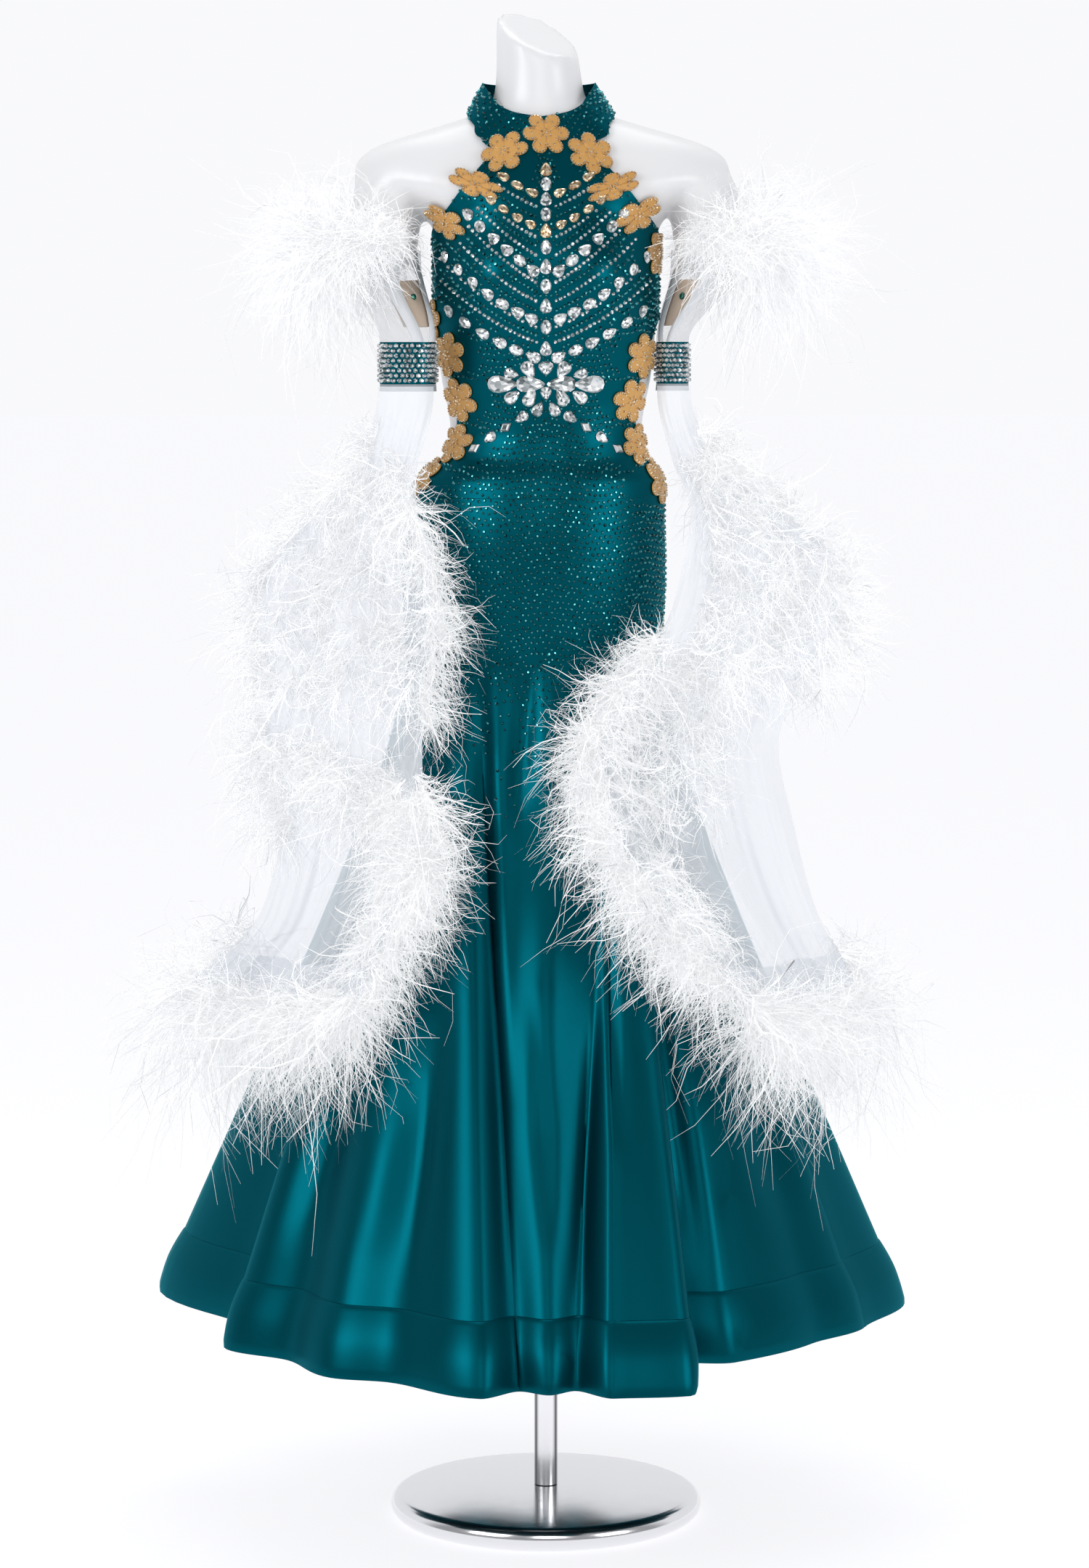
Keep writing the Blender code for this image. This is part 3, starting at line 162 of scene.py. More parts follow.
COLUMNS_A_FOLD = 10
SKIRT_ROWS = 64
SCOOP_SHARPNESS, CREASE_FADE = 1.4, 0.8

# Soft creases in the satin: ends across and up the front, half width, and depth (a ridge is negative)
Crease = namedtuple("Crease", "x0 z0 x1 z1 half depth")
CREASES = [Crease(*row) for row in (
    (-0.074, 1.010, -0.042, 0.330, 0.009, 0.0095),
    (-0.055, 0.990, -0.050, 0.520, 0.014, -0.0060),
    (-0.015, 1.010, -0.034, 0.810, 0.009, 0.0075),
    (0.000, 1.020, 0.012, 0.760, 0.016, -0.0065),
    (0.060, 1.010, 0.040, 0.720, 0.010, 0.0060),
    (0.016, 0.800, -0.010, 0.500, 0.020, -0.0060),
    (0.070, 0.760, 0.078, 0.480, 0.008, 0.0085),
    (0.054, 0.620, 0.034, 0.320, 0.008, 0.0070),
    (-0.012, 0.640, 0.004, 0.380, 0.010, 0.0050),
    (-0.100, 0.960, -0.130, 0.640, 0.018, -0.0060),
    (0.095, 0.980, 0.120, 0.620, 0.018, -0.0060),
    (0.110, 0.700, 0.170, 0.330, 0.012, 0.0070),
    (-0.110, 0.640, -0.150, 0.330, 0.012, 0.0060),
    (-0.150, 0.560, -0.190, 0.360, 0.022, -0.0060),
    (-0.225, 0.520, -0.275, 0.350, 0.018, 0.0065),
    (0.215, 0.540, 0.275, 0.370, 0.022, 0.0060),
)]

# Side edges of the front bodice: half width on the left and right at each height
EdgeRow = namedtuple("EdgeRow", "z left right")
BODICE_EDGE = [EdgeRow(*row) for row in (
    (1.5555, 0.070, 0.060), (1.545, 0.060, 0.056), (1.525, 0.074, 0.070), (1.500, 0.095, 0.093),
    (1.478, 0.112, 0.110), (1.460, 0.1235, 0.1215), (1.440, 0.1255, 0.1245), (1.372, 0.1245, 0.1240),
    (1.345, 0.1170, 0.1160), (1.315, 0.1080, 0.1060), (1.290, 0.1020, 0.1000), (1.260, 0.0960, 0.0960),
    (1.235, 0.0960, 0.0980), (1.215, 0.1050, 0.1060), (1.195, 0.1270, 0.1180), (1.184, 0.1400, 0.1300),
)]
# First and last height and number of the bodice's rows, and of those down to the hip seam
BODICE_ROWS = ((BODICE_TOP_Z, 1.440, 44), (1.436, 1.186, 84))
BODICE_FOOT_ROWS = (1.184, HIP_SEAM_Z, 8)
BODICE_COLUMNS, PAST_SIDE_X, WIDEST_PART = 60, 1.0, 0.9999
# Back band: upper and lower edge under the arms and behind, where it starts, and how fast it narrows
BAND_HIGH, BAND_LOW = (1.440, 1.425), (1.374, 1.385)
BAND_START, BAND_NARROWING = 0.2, 1.6
BAND_COLUMNS, STRIP_ROWS = 120, 12

# Collar: heights of its lower and upper edge and how far the upper edge stands off, at angles round the neck
CollarRow = namedtuple("CollarRow", "degrees low high stand")
COLLAR = [CollarRow(*row) for row in (
    (0, 1.5558, 1.5830, 0.000), (17, 1.5558, 1.5865, 0.001), (25, 1.5605, 1.5890, 0.003),
    (35, 1.5715, 1.5930, 0.005), (45, 1.5770, 1.5980, 0.008), (60, 1.5820, 1.6090, 0.010),
    (75, 1.5850, 1.6180, 0.011), (90, 1.5860, 1.6225, 0.011), (180, 1.5870, 1.6220, 0.008),
)]
COLLAR_COLUMNS, COLLAR_OPENING = 200, 0.004

# Crystal rows: outer and inner end of each slanting row, sag, stones a side, stone size and cut
StoneRow = namedtuple("StoneRow", "outer_x outer_z inner_x inner_z sag count length width finish")
STONE_ROWS = [StoneRow(*row) for row in (
    (0.047, 1.516, 0.0155, 1.4985, 0.001, 3, 0.013, 0.0075, "champagne_stone"),
    (0.060, 1.4915, 0.0170, 1.4640, 0.002, 4, 0.0115, 0.0075, "champagne_stone"),
    (0.084, 1.4770, 0.0150, 1.4150, 0.004, 6, 0.0135, 0.0095, "clear_stone"),
    (0.108, 1.4310, 0.0165, 1.3640, 0.007, 7, 0.0135, 0.0095, "clear_stone"),
    (0.104, 1.3720, 0.0140, 1.3220, 0.004, 6, 0.0145, 0.0095, "clear_stone"),
    (0.077, 1.2185, 0.0260, 1.2545, -0.001, 4, 0.0135, 0.0085, "clear_stone"),
)]
STONE_COLUMN_Z = (1.5235, 1.5075, 1.4915, 1.4745, 1.4570, 1.4390, 1.4190, 1.3985, 1.3775, 1.3545, 1.3310)
COLUMN_STONE = (0.0140, 0.0095)
CHAMPAGNE_COLUMN = (0, 4)
ClusterStone = namedtuple("ClusterStone", "x z length width slant")
CLUSTER_Z = 1.2895
CLUSTER = [ClusterStone(*row) for row in (
    (0.0165, 0.0020, 0.027, 0.0130, 0), (0.0465, 0.0020, 0.029, 0.0140, 0),
    (0.0000, 0.0200, 0.013, 0.0120, 90), (0.0185, 0.0180, 0.017, 0.0110, 60),
    (0.0370, 0.0135, 0.014, 0.0090, 15), (0.0170, -0.0130, 0.017, 0.0105, -60),
    (0.0360, -0.0120, 0.016, 0.0100, -35), (0.0000, -0.0080, 0.012, 0.0090, 90),
    (0.0085, -0.0260, 0.014, 0.0090, -60),
)]
CRYSTAL_BASE, CRYSTAL_HEIGHT = 0.0016, 0.0042
# GLINTS: how the stones' painted facet reflections spread from dark to light; the others shape pear and
# navette outlines
PEAR_POINT, NAVETTE_POINT, GLINTS = 0.42, 0.45, (0.7, 0.6)
CRYSTAL_LENGTH_SHARE, CRYSTAL_WIDTH_SHARE = 1.20, 1.30
DIAMONDS_BELOW_Z = 1.23

# Small stones: rows between each crystal row and the next, their spacing and size, and how far stones tilt
FINE_ROWS = (2, 4, 4, 4)
FINE_ROW_STEP, FINE_ROW_SIZE, FINE_ROW_INNER_X, FINE_ROW_EXTRA = 0.0056, 1.15, 0.006, 2
STONE_TILT, STONE_HEIGHT, STONE_SIZES = 0.12, 0.42, (0.85, 1.15)
STONE_MARGIN, ROW_MARGIN, FLOWER_MARGIN = 0.0015, 0.0040, 0.9
# The even field of small stones: heights, where the collar ends, spacings, and where they thin out
FIELD_TOP_Z, FIELD_BOTTOM_Z, COLLAR_FOOT_Z = 1.616, 0.79, 1.56
FIELD_SPACING, COLLAR_SPACING, SPACING_GROWTH, ROW_SHARE = 0.0074, 0.0060, 0.005, 0.87
FIELD_RADIUS, COLLAR_RADIUS, RAY_RADIUS, RAY_REACH = 0.135, 0.055, 0.45, 0.43
WIDER_Z, WIDER_FADE, THIN_Z, THIN_FADE, THIN_SHARE = 1.0, 0.2, 1.03, 0.22, 0.8
SPOT_SHAKE, ROW_WAVE, WAVES_ROUND, FRONT_RAY = 0.0009, 0.004, 6, 0.5

# Gold flowers: place across and up the front, and spin of the petals
FlowerRow = namedtuple("FlowerRow", "name x z spin")
FLOWERS = [FlowerRow(*row) for row in (
    ("top", 0.000, 1.5630, 0), ("left_1", -0.0455, 1.5430, 12), ("left_2", -0.0770, 1.5080, 40),
    ("left_3", -0.1080, 1.4690, 20), ("right_1", 0.0490, 1.5410, 25), ("right_2", 0.0730, 1.5050, 8),
    ("right_3", 0.0985, 1.4755, 30), ("right_4", 0.1190, 1.4350, 0), ("left_5", -0.1215, 1.3600, 10),
    ("left_6", -0.1050, 1.3235, 20), ("left_7", -0.0935, 1.2735, 40), ("left_8", -0.0965, 1.2235, 15),
    ("left_9", -0.1340, 1.1850, 30), ("right_5", 0.1050, 1.3220, 35), ("right_6", 0.0915, 1.2725, 50),
    ("right_7", 0.0980, 1.2230, 15), ("right_8", 0.1240, 1.1815, 25),
)]
BACK_FLOWER_TURNS = (118, 152, -152, -118)
BACK_FLOWER_DROP, BACK_FLOWER_SPIN = 0.014, 20
FLOWER_RADIUS, FLOWER_LIFT, FLOWER_COLUMNS = 0.0255, 0.0008, 84
PETALS = 6
PETAL_MIDDLE, PETAL_SIZE, LEAST_PART = 0.68, 0.32, 0.0004
# Rings of a flower from its edge inwards: share of its outline, and rise
PETAL_RINGS = ((1.0, 0.0012), (0.97, 0.0020), (0.90, 0.0023), (0.82, 0.0017), (0.66, 0.0021),
               (0.5, 0.0022), (0.34, 0.0018), (0.2, 0.0020), (0.08, 0.0026), (0.001, 0.0027))
GROOVE_DEPTH, GROOVE_HALF, GROOVE_END, FLOWER_MERGE = 0.45, 0.10, 0.3, 0.00008
# Studs of a flower: those round each petal, and distance out and width of the others
STUD_ARC, STUDS_A_PETAL, STUD_INSET, STUD_WIDTH = 2.3, 11, 0.84, 0.0027
PETAL_STUD, MIDDLE_STUD, RING_STUD, RING_STUD_TURN = (0.60, 0.0034), (0.0, 0.0046), (0.19, 0.0030), 0.5
STUD_HEIGHT, STUD_LIFT, PROBE = 0.5, 0.0020, 0.01

# Armbands, sleeves and puffs
Armband = namedtuple("Armband", "x y half_width half_depth top bottom notch")
ARMBANDS = {
    "left": Armband(-0.1520, -0.075, 0.0310, 0.0270, 1.3370, 1.2910, 0.20),
    "right": Armband(0.1410, -0.014, 0.0180, 0.0260, 1.3370, 1.2910, 0.08),
}
SIDES = {"left": -1, "right": 1}
NOTCH_HALF, ARMBAND_COLUMNS, ARMBAND_ROWS = 0.3, 96, 12
BINDING_HEIGHT, BINDING_ROWS, RUFFLE, RUFFLES_ROUND = 0.008, 6, 0.0007, 26
BAND_STONE_ROWS, BAND_STONE_EDGE, BAND_STONE_STEP = 8, 0.004, 0.0060
BAND_STONE_SIZES, BAND_STONE_HEIGHT, BAND_STONE_LIFT = (0.0050, 0.0058), 0.5, 0.0002
PUFF_TOP, PUFF_BOTTOM = 1.466, 1.440
PUFF_CLEARANCE = 0.0012
SLEEVE_EASE, SLEEVE_DROP, SLEEVE_STRAIGHT = 0.0040, 0.0012, 0.15
SLEEVE_ROWS, SLEEVE_COLUMNS = 40, 72
PUCKER, PUCKERS_ROUND, PUCKERS_DOWN = 0.0007, 11, 9
# The slit: where it is, half its opening in degrees above and below, and how it opens on the way down
SLIT_TURN = {"left": 42, "right": -30}
SLIT_TOP_HALF, SLIT_OPEN_HALF = 3, 22
SLIT_SPAN, SLIT_SHIFT, SLIT_QUICKNESS = 0.8, 0.1, 3
RIBBON_COLUMNS, RIBBON_TURN, RIBBON_OVERLAP, RIBBON_WALL, RIBBON_RISE = 9, 24, 0.15, 0.0006, 0.0016
LINING_HALF, LINING_GAP, LINING_COLUMNS, LINING_ROWS, LINING_SPAN = 44, 0.0016, 30, 24, (0.32, 0.82)
SLIT_STONE, SLIT_STONE_DOWN, SLIT_STONE_LEAN = (0.0085, 0.0065, 0.0030), 0.50, (0.3, 0, 1.0)
SLIT_STONE_LIFT, SLIT_STONE_PROBE = 0.0005, 0.004

# Floats: places of the inner and outer edge at each height, and depth of the waves between them
FloatRow = namedtuple("FloatRow", "z inner_x inner_y outer_x outer_y depth")
FLOATS = {
    "left": [FloatRow(*row) for row in (
        (1.200, -0.145, -0.115, -0.215, -0.065, 0.002), (1.150, -0.138, -0.125, -0.255, -0.050, 0.005),
        (1.090, -0.118, -0.128, -0.310, -0.030, 0.008), (1.020, -0.116, -0.138, -0.325, -0.032, 0.010),
        (0.960, -0.130, -0.145, -0.310, -0.045, 0.010), (0.890, -0.132, -0.160, -0.320, -0.055, 0.011),
        (0.800, -0.124, -0.205, -0.300, -0.075, 0.012), (0.710, -0.155, -0.220, -0.320, -0.090, 0.013),
        (0.620, -0.205, -0.225, -0.410, -0.075, 0.010),
    )],
    "right": [FloatRow(*row) for row in (
        (1.200, 0.146, -0.060, 0.205, -0.025, 0.003), (1.150, 0.158, -0.080, 0.265, -0.020, 0.005),
        (1.090, 0.148, -0.100, 0.325, -0.020, 0.008), (1.020, 0.125, -0.130, 0.330, -0.032, 0.010),
        (0.960, 0.080, -0.150, 0.285, -0.050, 0.010), (0.890, 0.045, -0.185, 0.262, -0.070, 0.011),
        (0.800, 0.070, -0.215, 0.280, -0.085, 0.012), (0.710, 0.135, -0.240, 0.305, -0.095, 0.013),
        (0.620, 0.215, -0.235, 0.355, -0.100, 0.005),
    )],
}
FLOAT_TOP_Z, FLOAT_HEM_Z = 1.2885, 0.625
FLOAT_GATHER_START, FLOAT_GATHER_END = 60, -95
FLOAT_GATHER_DROP, FLOAT_WAVE_START = 0.12, 0.6
FLOAT_HEM_SAG, FLOAT_SAG_HEIGHT = 0.012, 0.09
FLOAT_LIFT, FLOAT_WAVES, FLOAT_POINTS = 0.0020, 2.5, 100
FLOAT_STRIP_ROWS, FLOAT_STRIP_FRONT, FLOAT_STRIP_BACK = 7, -0.0012, -0.0004
# Fine creases of the floats: depth, number across and down, where they start and how soon they are full
RIPPLES = ((0.0022, 47, 9, FLOAT_TOP_Z, 0.1), (0.0012, 131, -23, 1.26, 0.2))

# Feather bands on the floats: from one place to another (across and up), how wide the band is, strands,
# their length, and how far they lean along the float, off it and down
Plume = namedtuple("Plume", "band side a0 z0 a1 z1 width count length lean out down")
PLUMES = [Plume(*row) for row in (
    ("upper", "left", 0.75, 1.235, 1.00, 1.150, 0.020, 1500, 0.065, 1.0, 0.6, 0.1),
    ("upper", "left", 1.00, 1.150, 1.00, 0.950, 0.020, 3600, 0.070, 1.0, 0.6, 0.3),
    ("upper", "left", 0.05, 1.180, 0.00, 0.930, 0.030, 3300, 0.066, -0.7, 0.8, 0.7),
    ("upper", "left", 0.50, 1.200, 0.50, 0.940, 0.900, 6500, 0.062, 0.0, 0.9, 0.7),
    ("middle", "left", 1.00, 0.930, 0.85, 0.800, 0.030, 2400, 0.075, 1.0, 0.6, 0.4),
    ("middle", "left", 0.90, 0.900, 0.10, 0.830, 0.500, 5500, 0.072, 0.0, 0.9, 0.8),
    ("middle", "left", 0.40, 0.840, 0.00, 0.760, 0.300, 3000, 0.075, -0.4, 0.9, 0.8),
    ("edge", "left", 0.02, 0.860, 0.00, 0.620, 0.060, 4500, 0.075, -0.8, 0.7, 0.8),
    ("edge", "left", 0.20, 0.800, 0.15, 0.640, 0.300, 2500, 0.065, -0.3, 0.9, 0.8),
    ("hem", "left", 0.00, 0.630, 1.00, 0.625, 0.030, 7500, 0.135, 0.3, 0.6, 1.0),
    ("hem", "left", 1.00, 0.680, 1.00, 0.615, 0.040, 1500, 0.095, 1.0, 0.5, 0.7),
    ("upper", "right", 0.75, 1.235, 1.00, 1.150, 0.020, 1500, 0.065, 1.0, 0.6, 0.1),
    ("upper", "right", 1.00, 1.150, 1.00, 0.960, 0.020, 3600, 0.070, 1.0, 0.6, 0.3),
    ("upper", "right", 0.60, 1.210, 0.55, 0.960, 0.800, 8000, 0.062, 0.1, 0.9, 0.7),
    ("middle", "right", 0.02, 1.020, 0.00, 0.800, 0.060, 5200, 0.075, -0.9, 0.8, 0.6),
    ("middle", "right", 0.30, 1.000, 0.30, 0.820, 0.600, 4500, 0.066, 0.0, 0.9, 0.8),
    ("edge", "right", 0.00, 0.810, 0.00, 0.640, 0.060, 4500, 0.080, -0.7, 0.7, 0.8),
    ("edge", "right", 0.18, 0.800, 0.18, 0.650, 0.300, 2200, 0.070, -0.2, 0.9, 0.8),
    ("hem", "right", 0.00, 0.630, 1.00, 0.625, 0.030, 7000, 0.125, 0.2, 0.6, 1.0),
    ("hem", "right", 1.00, 0.670, 1.00, 0.615, 0.030, 1200, 0.080, 1.0, 0.5, 0.7),
)]
PLUME_HEIGHT_SHAKE, PLUME_ACROSS_SHAKE, PLUME_OWN_SHAKE = 0.006, 0.012, 0.003
PLUME_SPREAD, PLUME_OWN_SPREAD, PLUME_OFF = 0.42, 0.12, (0.2, 1.2)
PLUME_LENGTHS, PLUME_OWN_LENGTHS, PLUME_SAGS, PLUME_LIFT = (0.6, 1.15), (0.65, 1.0), (0.0, 0.4), 0.001
# Puffs: slope and length of the strands, longest on the outside, short towards the body
PUFF_STRANDS, PUFF_ROOT_LIFT, PUFF_LEAN, PUFF_FALL = 14000, 0.0018, 0.25, 0.12
PUFF_RISES, PUFF_TURN_SHAKE, PUFF_RISE_SHAKE, PUFF_HEIGHT_SHAKE = (-1.0, 0.75), 0.06, 0.10, 0.003
LOCK_ROOM, HEAD_ROOM, FOOT_ROOM = 0.003, 0.002, 0.001
PUFF_LENGTH, PUFF_OUTER_LENGTH, PUFF_OUTER_START, PUFF_OUTER_SPAN = 0.080, 0.048, 0.3, 1.3
PUFF_LENGTHS, PUFF_SAGS, PUFF_TURNED_BACK = (0.45, 1.05), (0.05, 0.30), -0.5
PUFF_INNER_START, PUFF_INNER_SPAN, PUFF_INNER_CUT = 0.1, 0.7, 0.60
PUFF_STEEP, PUFF_STEEP_CUT = 0.3, 0.15
# Strands: points along each, how they curl alone and with their lock, and their widths and tones
STRAND_STEPS, LOCK_STRANDS = 6, 9
STRAND_CURL, UPWARD_CURL, CURL_GROWTH, OWN_CURL = 1.35, 0.7, 1.5, 0.5
WAVE_CURL, WAVE_TURNS, OWN_AIM = 0.6, 0.9, 0.35
STRAND_WIDTH, STRAND_WIDTHS, STRAND_TAPER = 0.00085, (0.7, 1.3), 0.8
BOLD_SHARE, BOLD_WIDTH = 0.22, 2.1
STRAND_REACH, STRAY_SHARE, STRAY_REACH = 1.3, 0.05, 1.4
OVERREACH, LEAST_FIT = 0.024, 0.2
TONE, LOCK_TONE, OWN_TONE = 0.55, 0.25, 0.2

# First seed of each group's random draws
SEEDS = {"field": 5, "fine_rows": 30, "scattered": 31, "studs": 40, "armband": 50, "slit_stone": 60,
         "puff": 70, "puff_strands": 75, "strands": 90, "plume": 100}

# Stand
BASE_RADIUS, BASE_EDGE, BASE_DOME = 0.1776, 0.013, 0.033
BASE_EDGE_STEPS, BASE_DOME_STEPS, BASE_SIDES = 12, 8, 160
POLE_RADIUS, POLE_BEVEL, POLE_SIDES = 0.0135, 0.0006, 64
MERGE_DISTANCE = 1e-6

# Floor, camera and lights
FLOOR_REACH, FLOOR_Z = 60.0, -0.001
CAMERA_PLACE, CAMERA_AIM = (0.0, -5.0, 1.36), (-0.0016, 0.0, 0.84)
CAMERA_LENS, CAMERA_SENSOR = 102.2, 36.0
Light = namedtuple("Light", "name place aim size share")
LIGHTS = [Light(*row) for row in (
    ("key", (-3.0, -3.0, 2.7), (0, 0, 0.9), 1.9, 1.0),
    ("fill", (3.3, -2.6, 2.0), (0, 0, 0.9), 1.6, 0.62),
    ("front", (0.3, -5.4, 3.4), (0, 0, 1.0), 2.4, 0.55),
    ("top", (0.0, 0.3, 3.9), (0, 0, 0.9), 2.2, 0.5),
)]
# The studio round the dress grows brighter from the front to the back
STUDIO_LIGHT, STUDIO_SEEN = (0.97, 0.98, 1.0, 1), (0.945, 0.948, 0.970, 1)
STUDIO_SPAN = {"From Min": -0.05, "From Max": 0.25, "To Min": 0.32, "To Max": 0.85}


class Profile:
    """A value that follows rows of heights smoothly and never passes beyond them."""

    def __init__(self, heights, values):
        order = np.argsort(heights)
        self.heights = np.asarray(heights, float)[order]
        self.values = np.asarray(values, float)[order]
        steps = np.diff(self.values) / np.diff(self.heights)
        a, b = steps[:-1], steps[1:]
        same = a * b > 0
        inner = np.where(same, 2 * a * b / np.where(same, a + b, 1), 0)
        self.slopes = np.concatenate(([steps[0]], inner, [steps[-1]]))

    def __call__(self, height):
        height = np.clip(height, self.heights[0], self.heights[-1])
        index = np.clip(np.searchsorted(self.heights, height, "right") - 1, 0, len(self.heights) - 2)
        span = self.heights[index + 1] - self.heights[index]
        part = (height - self.heights[index]) / span
        smooth = part * part * (3 - 2 * part)
        start = part * (1 - part) ** 2 * span * self.slopes[index]
        end = part * part * (part - 1) * span * self.slopes[index + 1]
        return self.values[index] * (1 - smooth) + self.values[index + 1] * smooth + start + end


def columns_of(rows):
    """One Profile for each named column after the first, the height or angle, of a table."""
    heights = [row[0] for row in rows]
    return {name: Profile(heights, [getattr(row, name) for row in rows]) for name in rows[0]._fields[1:]}


BODY_AT = columns_of(BODY)
STUB_AT = columns_of(STUB)
EDGE_AT = columns_of(BODICE_EDGE)
COLLAR_AT = columns_of(COLLAR)
FLOAT_AT = {side: columns_of(rows) for side, rows in FLOATS.items()}


def mix(a, b, part):
    return a + (b - a) * part


def ease(part):
    part = np.clip(part, 0.0, 1.0)
    return part * part * (3 - 2 * part)


def unit(vectors):
    return vectors / np.maximum(np.linalg.norm(vectors, axis=-1, keepdims=True), 1e-12)


def stacked(x, y, z):
    """Points from coordinates that may be arrays of one shape."""
    x, y, z = np.broadcast_arrays(x, y, z)
    return np.stack((x, y, z), -1).astype(float)


def body(turn, z):
    """Skin of the form at an angle from the front, positive towards +X."""
    across, along = np.sin(turn), np.cos(turn)
    x = BODY_AT["shift"](z) + BODY_AT["half_width"](z) * across
    y = -np.where(along > 0, BODY_AT["front"](z), BODY_AT["back"](z)) * along
    above = (z - BUST_Z) / BUST_HEIGHT
    cups = sum(np.exp(-((x - middle) / BUST_WIDTH) ** 2 - above * above) for middle in (-BUST_X, BUST_X))
    return stacked(x, y - BUST_OUT * cups * ease(along * BUST_FADE), z)


def slopes(surface, first, second, step=STEP):
    """How a surface of two parameters runs along each of them."""
    return (surface(first + step, second) - surface(first - step, second),
            surface(first, second + step) - surface(first, second - step))


def moved_out(surface, first, second, distance):
    """Points of a surface at two parameters, moved along its normal."""
    along, up = slopes(surface, first, second, FINE_STEP)
    return surface(first, second) + unit(np.cross(along, up)) * np.asarray(distance)[..., None]


def worn(turn, z, distance=0.0):
    """Points on the dress's inner face, where it lies on the form, moved out."""
    return moved_out(body, turn, z, FORM_CLEARANCE + distance)


def collar(turn, part):
    """Stand collar's inner face, straight from its lower edge, 0, to its upper edge, 1."""
    away = np.degrees(np.abs(turn))
    low = worn(turn, COLLAR_AT["low"](away))
    high = worn(turn, COLLAR_AT["high"](away))
    high = high + stacked(np.sin(turn), -np.cos(turn), 0.0) * COLLAR_AT["stand"](away)[..., None]
    return mix(low, high, np.asarray(part)[..., None])


def turn_at(x, z):
    """Angle round the form's front where it reaches x at a height."""
    part = (x - BODY_AT["shift"](z)) / BODY_AT["half_width"](z)
    return np.arcsin(np.clip(part, -WIDEST_PART, WIDEST_PART))


def creased(points):
    """Points of the skirt with its soft creases pressed in."""
    outward = unit(points * np.array((1, 1, 0)))
    depth = np.zeros(points.shape[:-1])
    in_front = points[..., 1] < 0
    for crease in CREASES:
        part = (points[..., 2] - crease.z0) / (crease.z1 - crease.z0)
        line = mix(crease.x0, crease.x1, part)
        fade = np.sin(pi * np.clip(part, 0, 1)) ** CREASE_FADE
        depth += crease.depth * fade * np.exp(-((points[..., 0] - line) / crease.half) ** 2) * in_front
    return points - outward * depth[..., None]


def fold_at(place):
    """Hip angle, hem angle and hem radius at places along the folds, counted in rows of the table."""
    place = np.asarray(place, float)
    index = np.floor(place).astype(int)
    part = place - index
    count = len(FOLDS)

    def read(column, number):
        return np.array([getattr(fold, column) for fold in FOLDS])[number % count]

    hip = mix(read("hip_turn", index) + 360 * (index // count),
              read("hip_turn", index + 1) + 360 * ((index + 1) // count), part)
    hem = mix(read("hem_turn", index) + 360 * (index // count),
              read("hem_turn", index + 1) + 360 * ((index + 1) // count), part)
    return np.radians(hip), np.radians(hem), mix(read("radius", index), read("radius", index + 1), ease(part))


def skirt(place, z):
    """The skirt's inner face: on the hips above, straight down the flare to the folded hem below."""
    hip, hem, radius = fold_at(place)
    above = moved_out(body, hip, np.maximum(z, FLARE_Z), FORM_CLEARANCE)
    end_x, end_y = radius * np.sin(hem), -radius * np.cos(hem)
    down = np.maximum(0.0, (FLARE_Z - z) / (FLARE_Z - HEM_Z))
    spread = (down - FLARE_EASE * (1 - np.exp(-down / FLARE_EASE))) / (1 - FLARE_EASE)
    return stacked(mix(above[..., 0], end_x, spread), mix(above[..., 1], end_y, spread), z)


def skirt_top(hip):
    """Height of the skirt's upper edge: the hip seam in front, a low scoop behind."""
    behind = np.maximum(0.0, -np.cos(hip))
    return HIP_SEAM_Z - (HIP_SEAM_Z - BACK_SCOOP_Z) * ease(behind * SCOOP_SHARPNESS)


def stub(side):
    """Skin of a short shoulder end, as a surface of angle and height."""
    def surface(turn, z):
        half = STUB_AT["half_width"](z)
        return stacked(SIDES[side] * STUB_AT["centre"](z) + half * np.sin(turn),
                       -half * STUB_DEPTH * np.cos(turn), z)
    return surface


def sleeve(side):
    """Sheer sleeve between the puff, 0, and the armband, 1, as a surface of angle and way down."""
    band = ARMBANDS[side]

    def surface(turn, down):
        drift = ease((down - SLEEVE_STRAIGHT) / (1 - SLEEVE_STRAIGHT))
        stub_half = STUB_AT["half_width"](PUFF_BOTTOM)
        half = mix(stub_half + SLEEVE_EASE, band.half_width, drift)
        depth = mix(stub_half * STUB_DEPTH + SLEEVE_EASE, band.half_depth, drift)
        x = mix(SIDES[side] * STUB_AT["centre"](PUFF_BOTTOM), band.x, drift)
        return stacked(x + half * np.sin(turn), mix(0, band.y, drift) - depth * np.cos(turn),
                       mix(PUFF_BOTTOM - SLEEVE_DROP, band.top + SEAM_GAP, down))
    return surface


def armband(side, lift=0.0):
    """Outer face of an armband, with a soft notch in front, as a surface of angle and height."""
    band = ARMBANDS[side]

    def surface(turn, z):
        away = (turn + pi) % tau - pi
        size = 1 - band.notch * np.exp(-(away / NOTCH_HALF) ** 2)
        return stacked(band.x + (band.half_width * size + lift) * np.sin(turn),
                       band.y - (band.half_depth * size + lift) * np.cos(turn), z)
    return surface


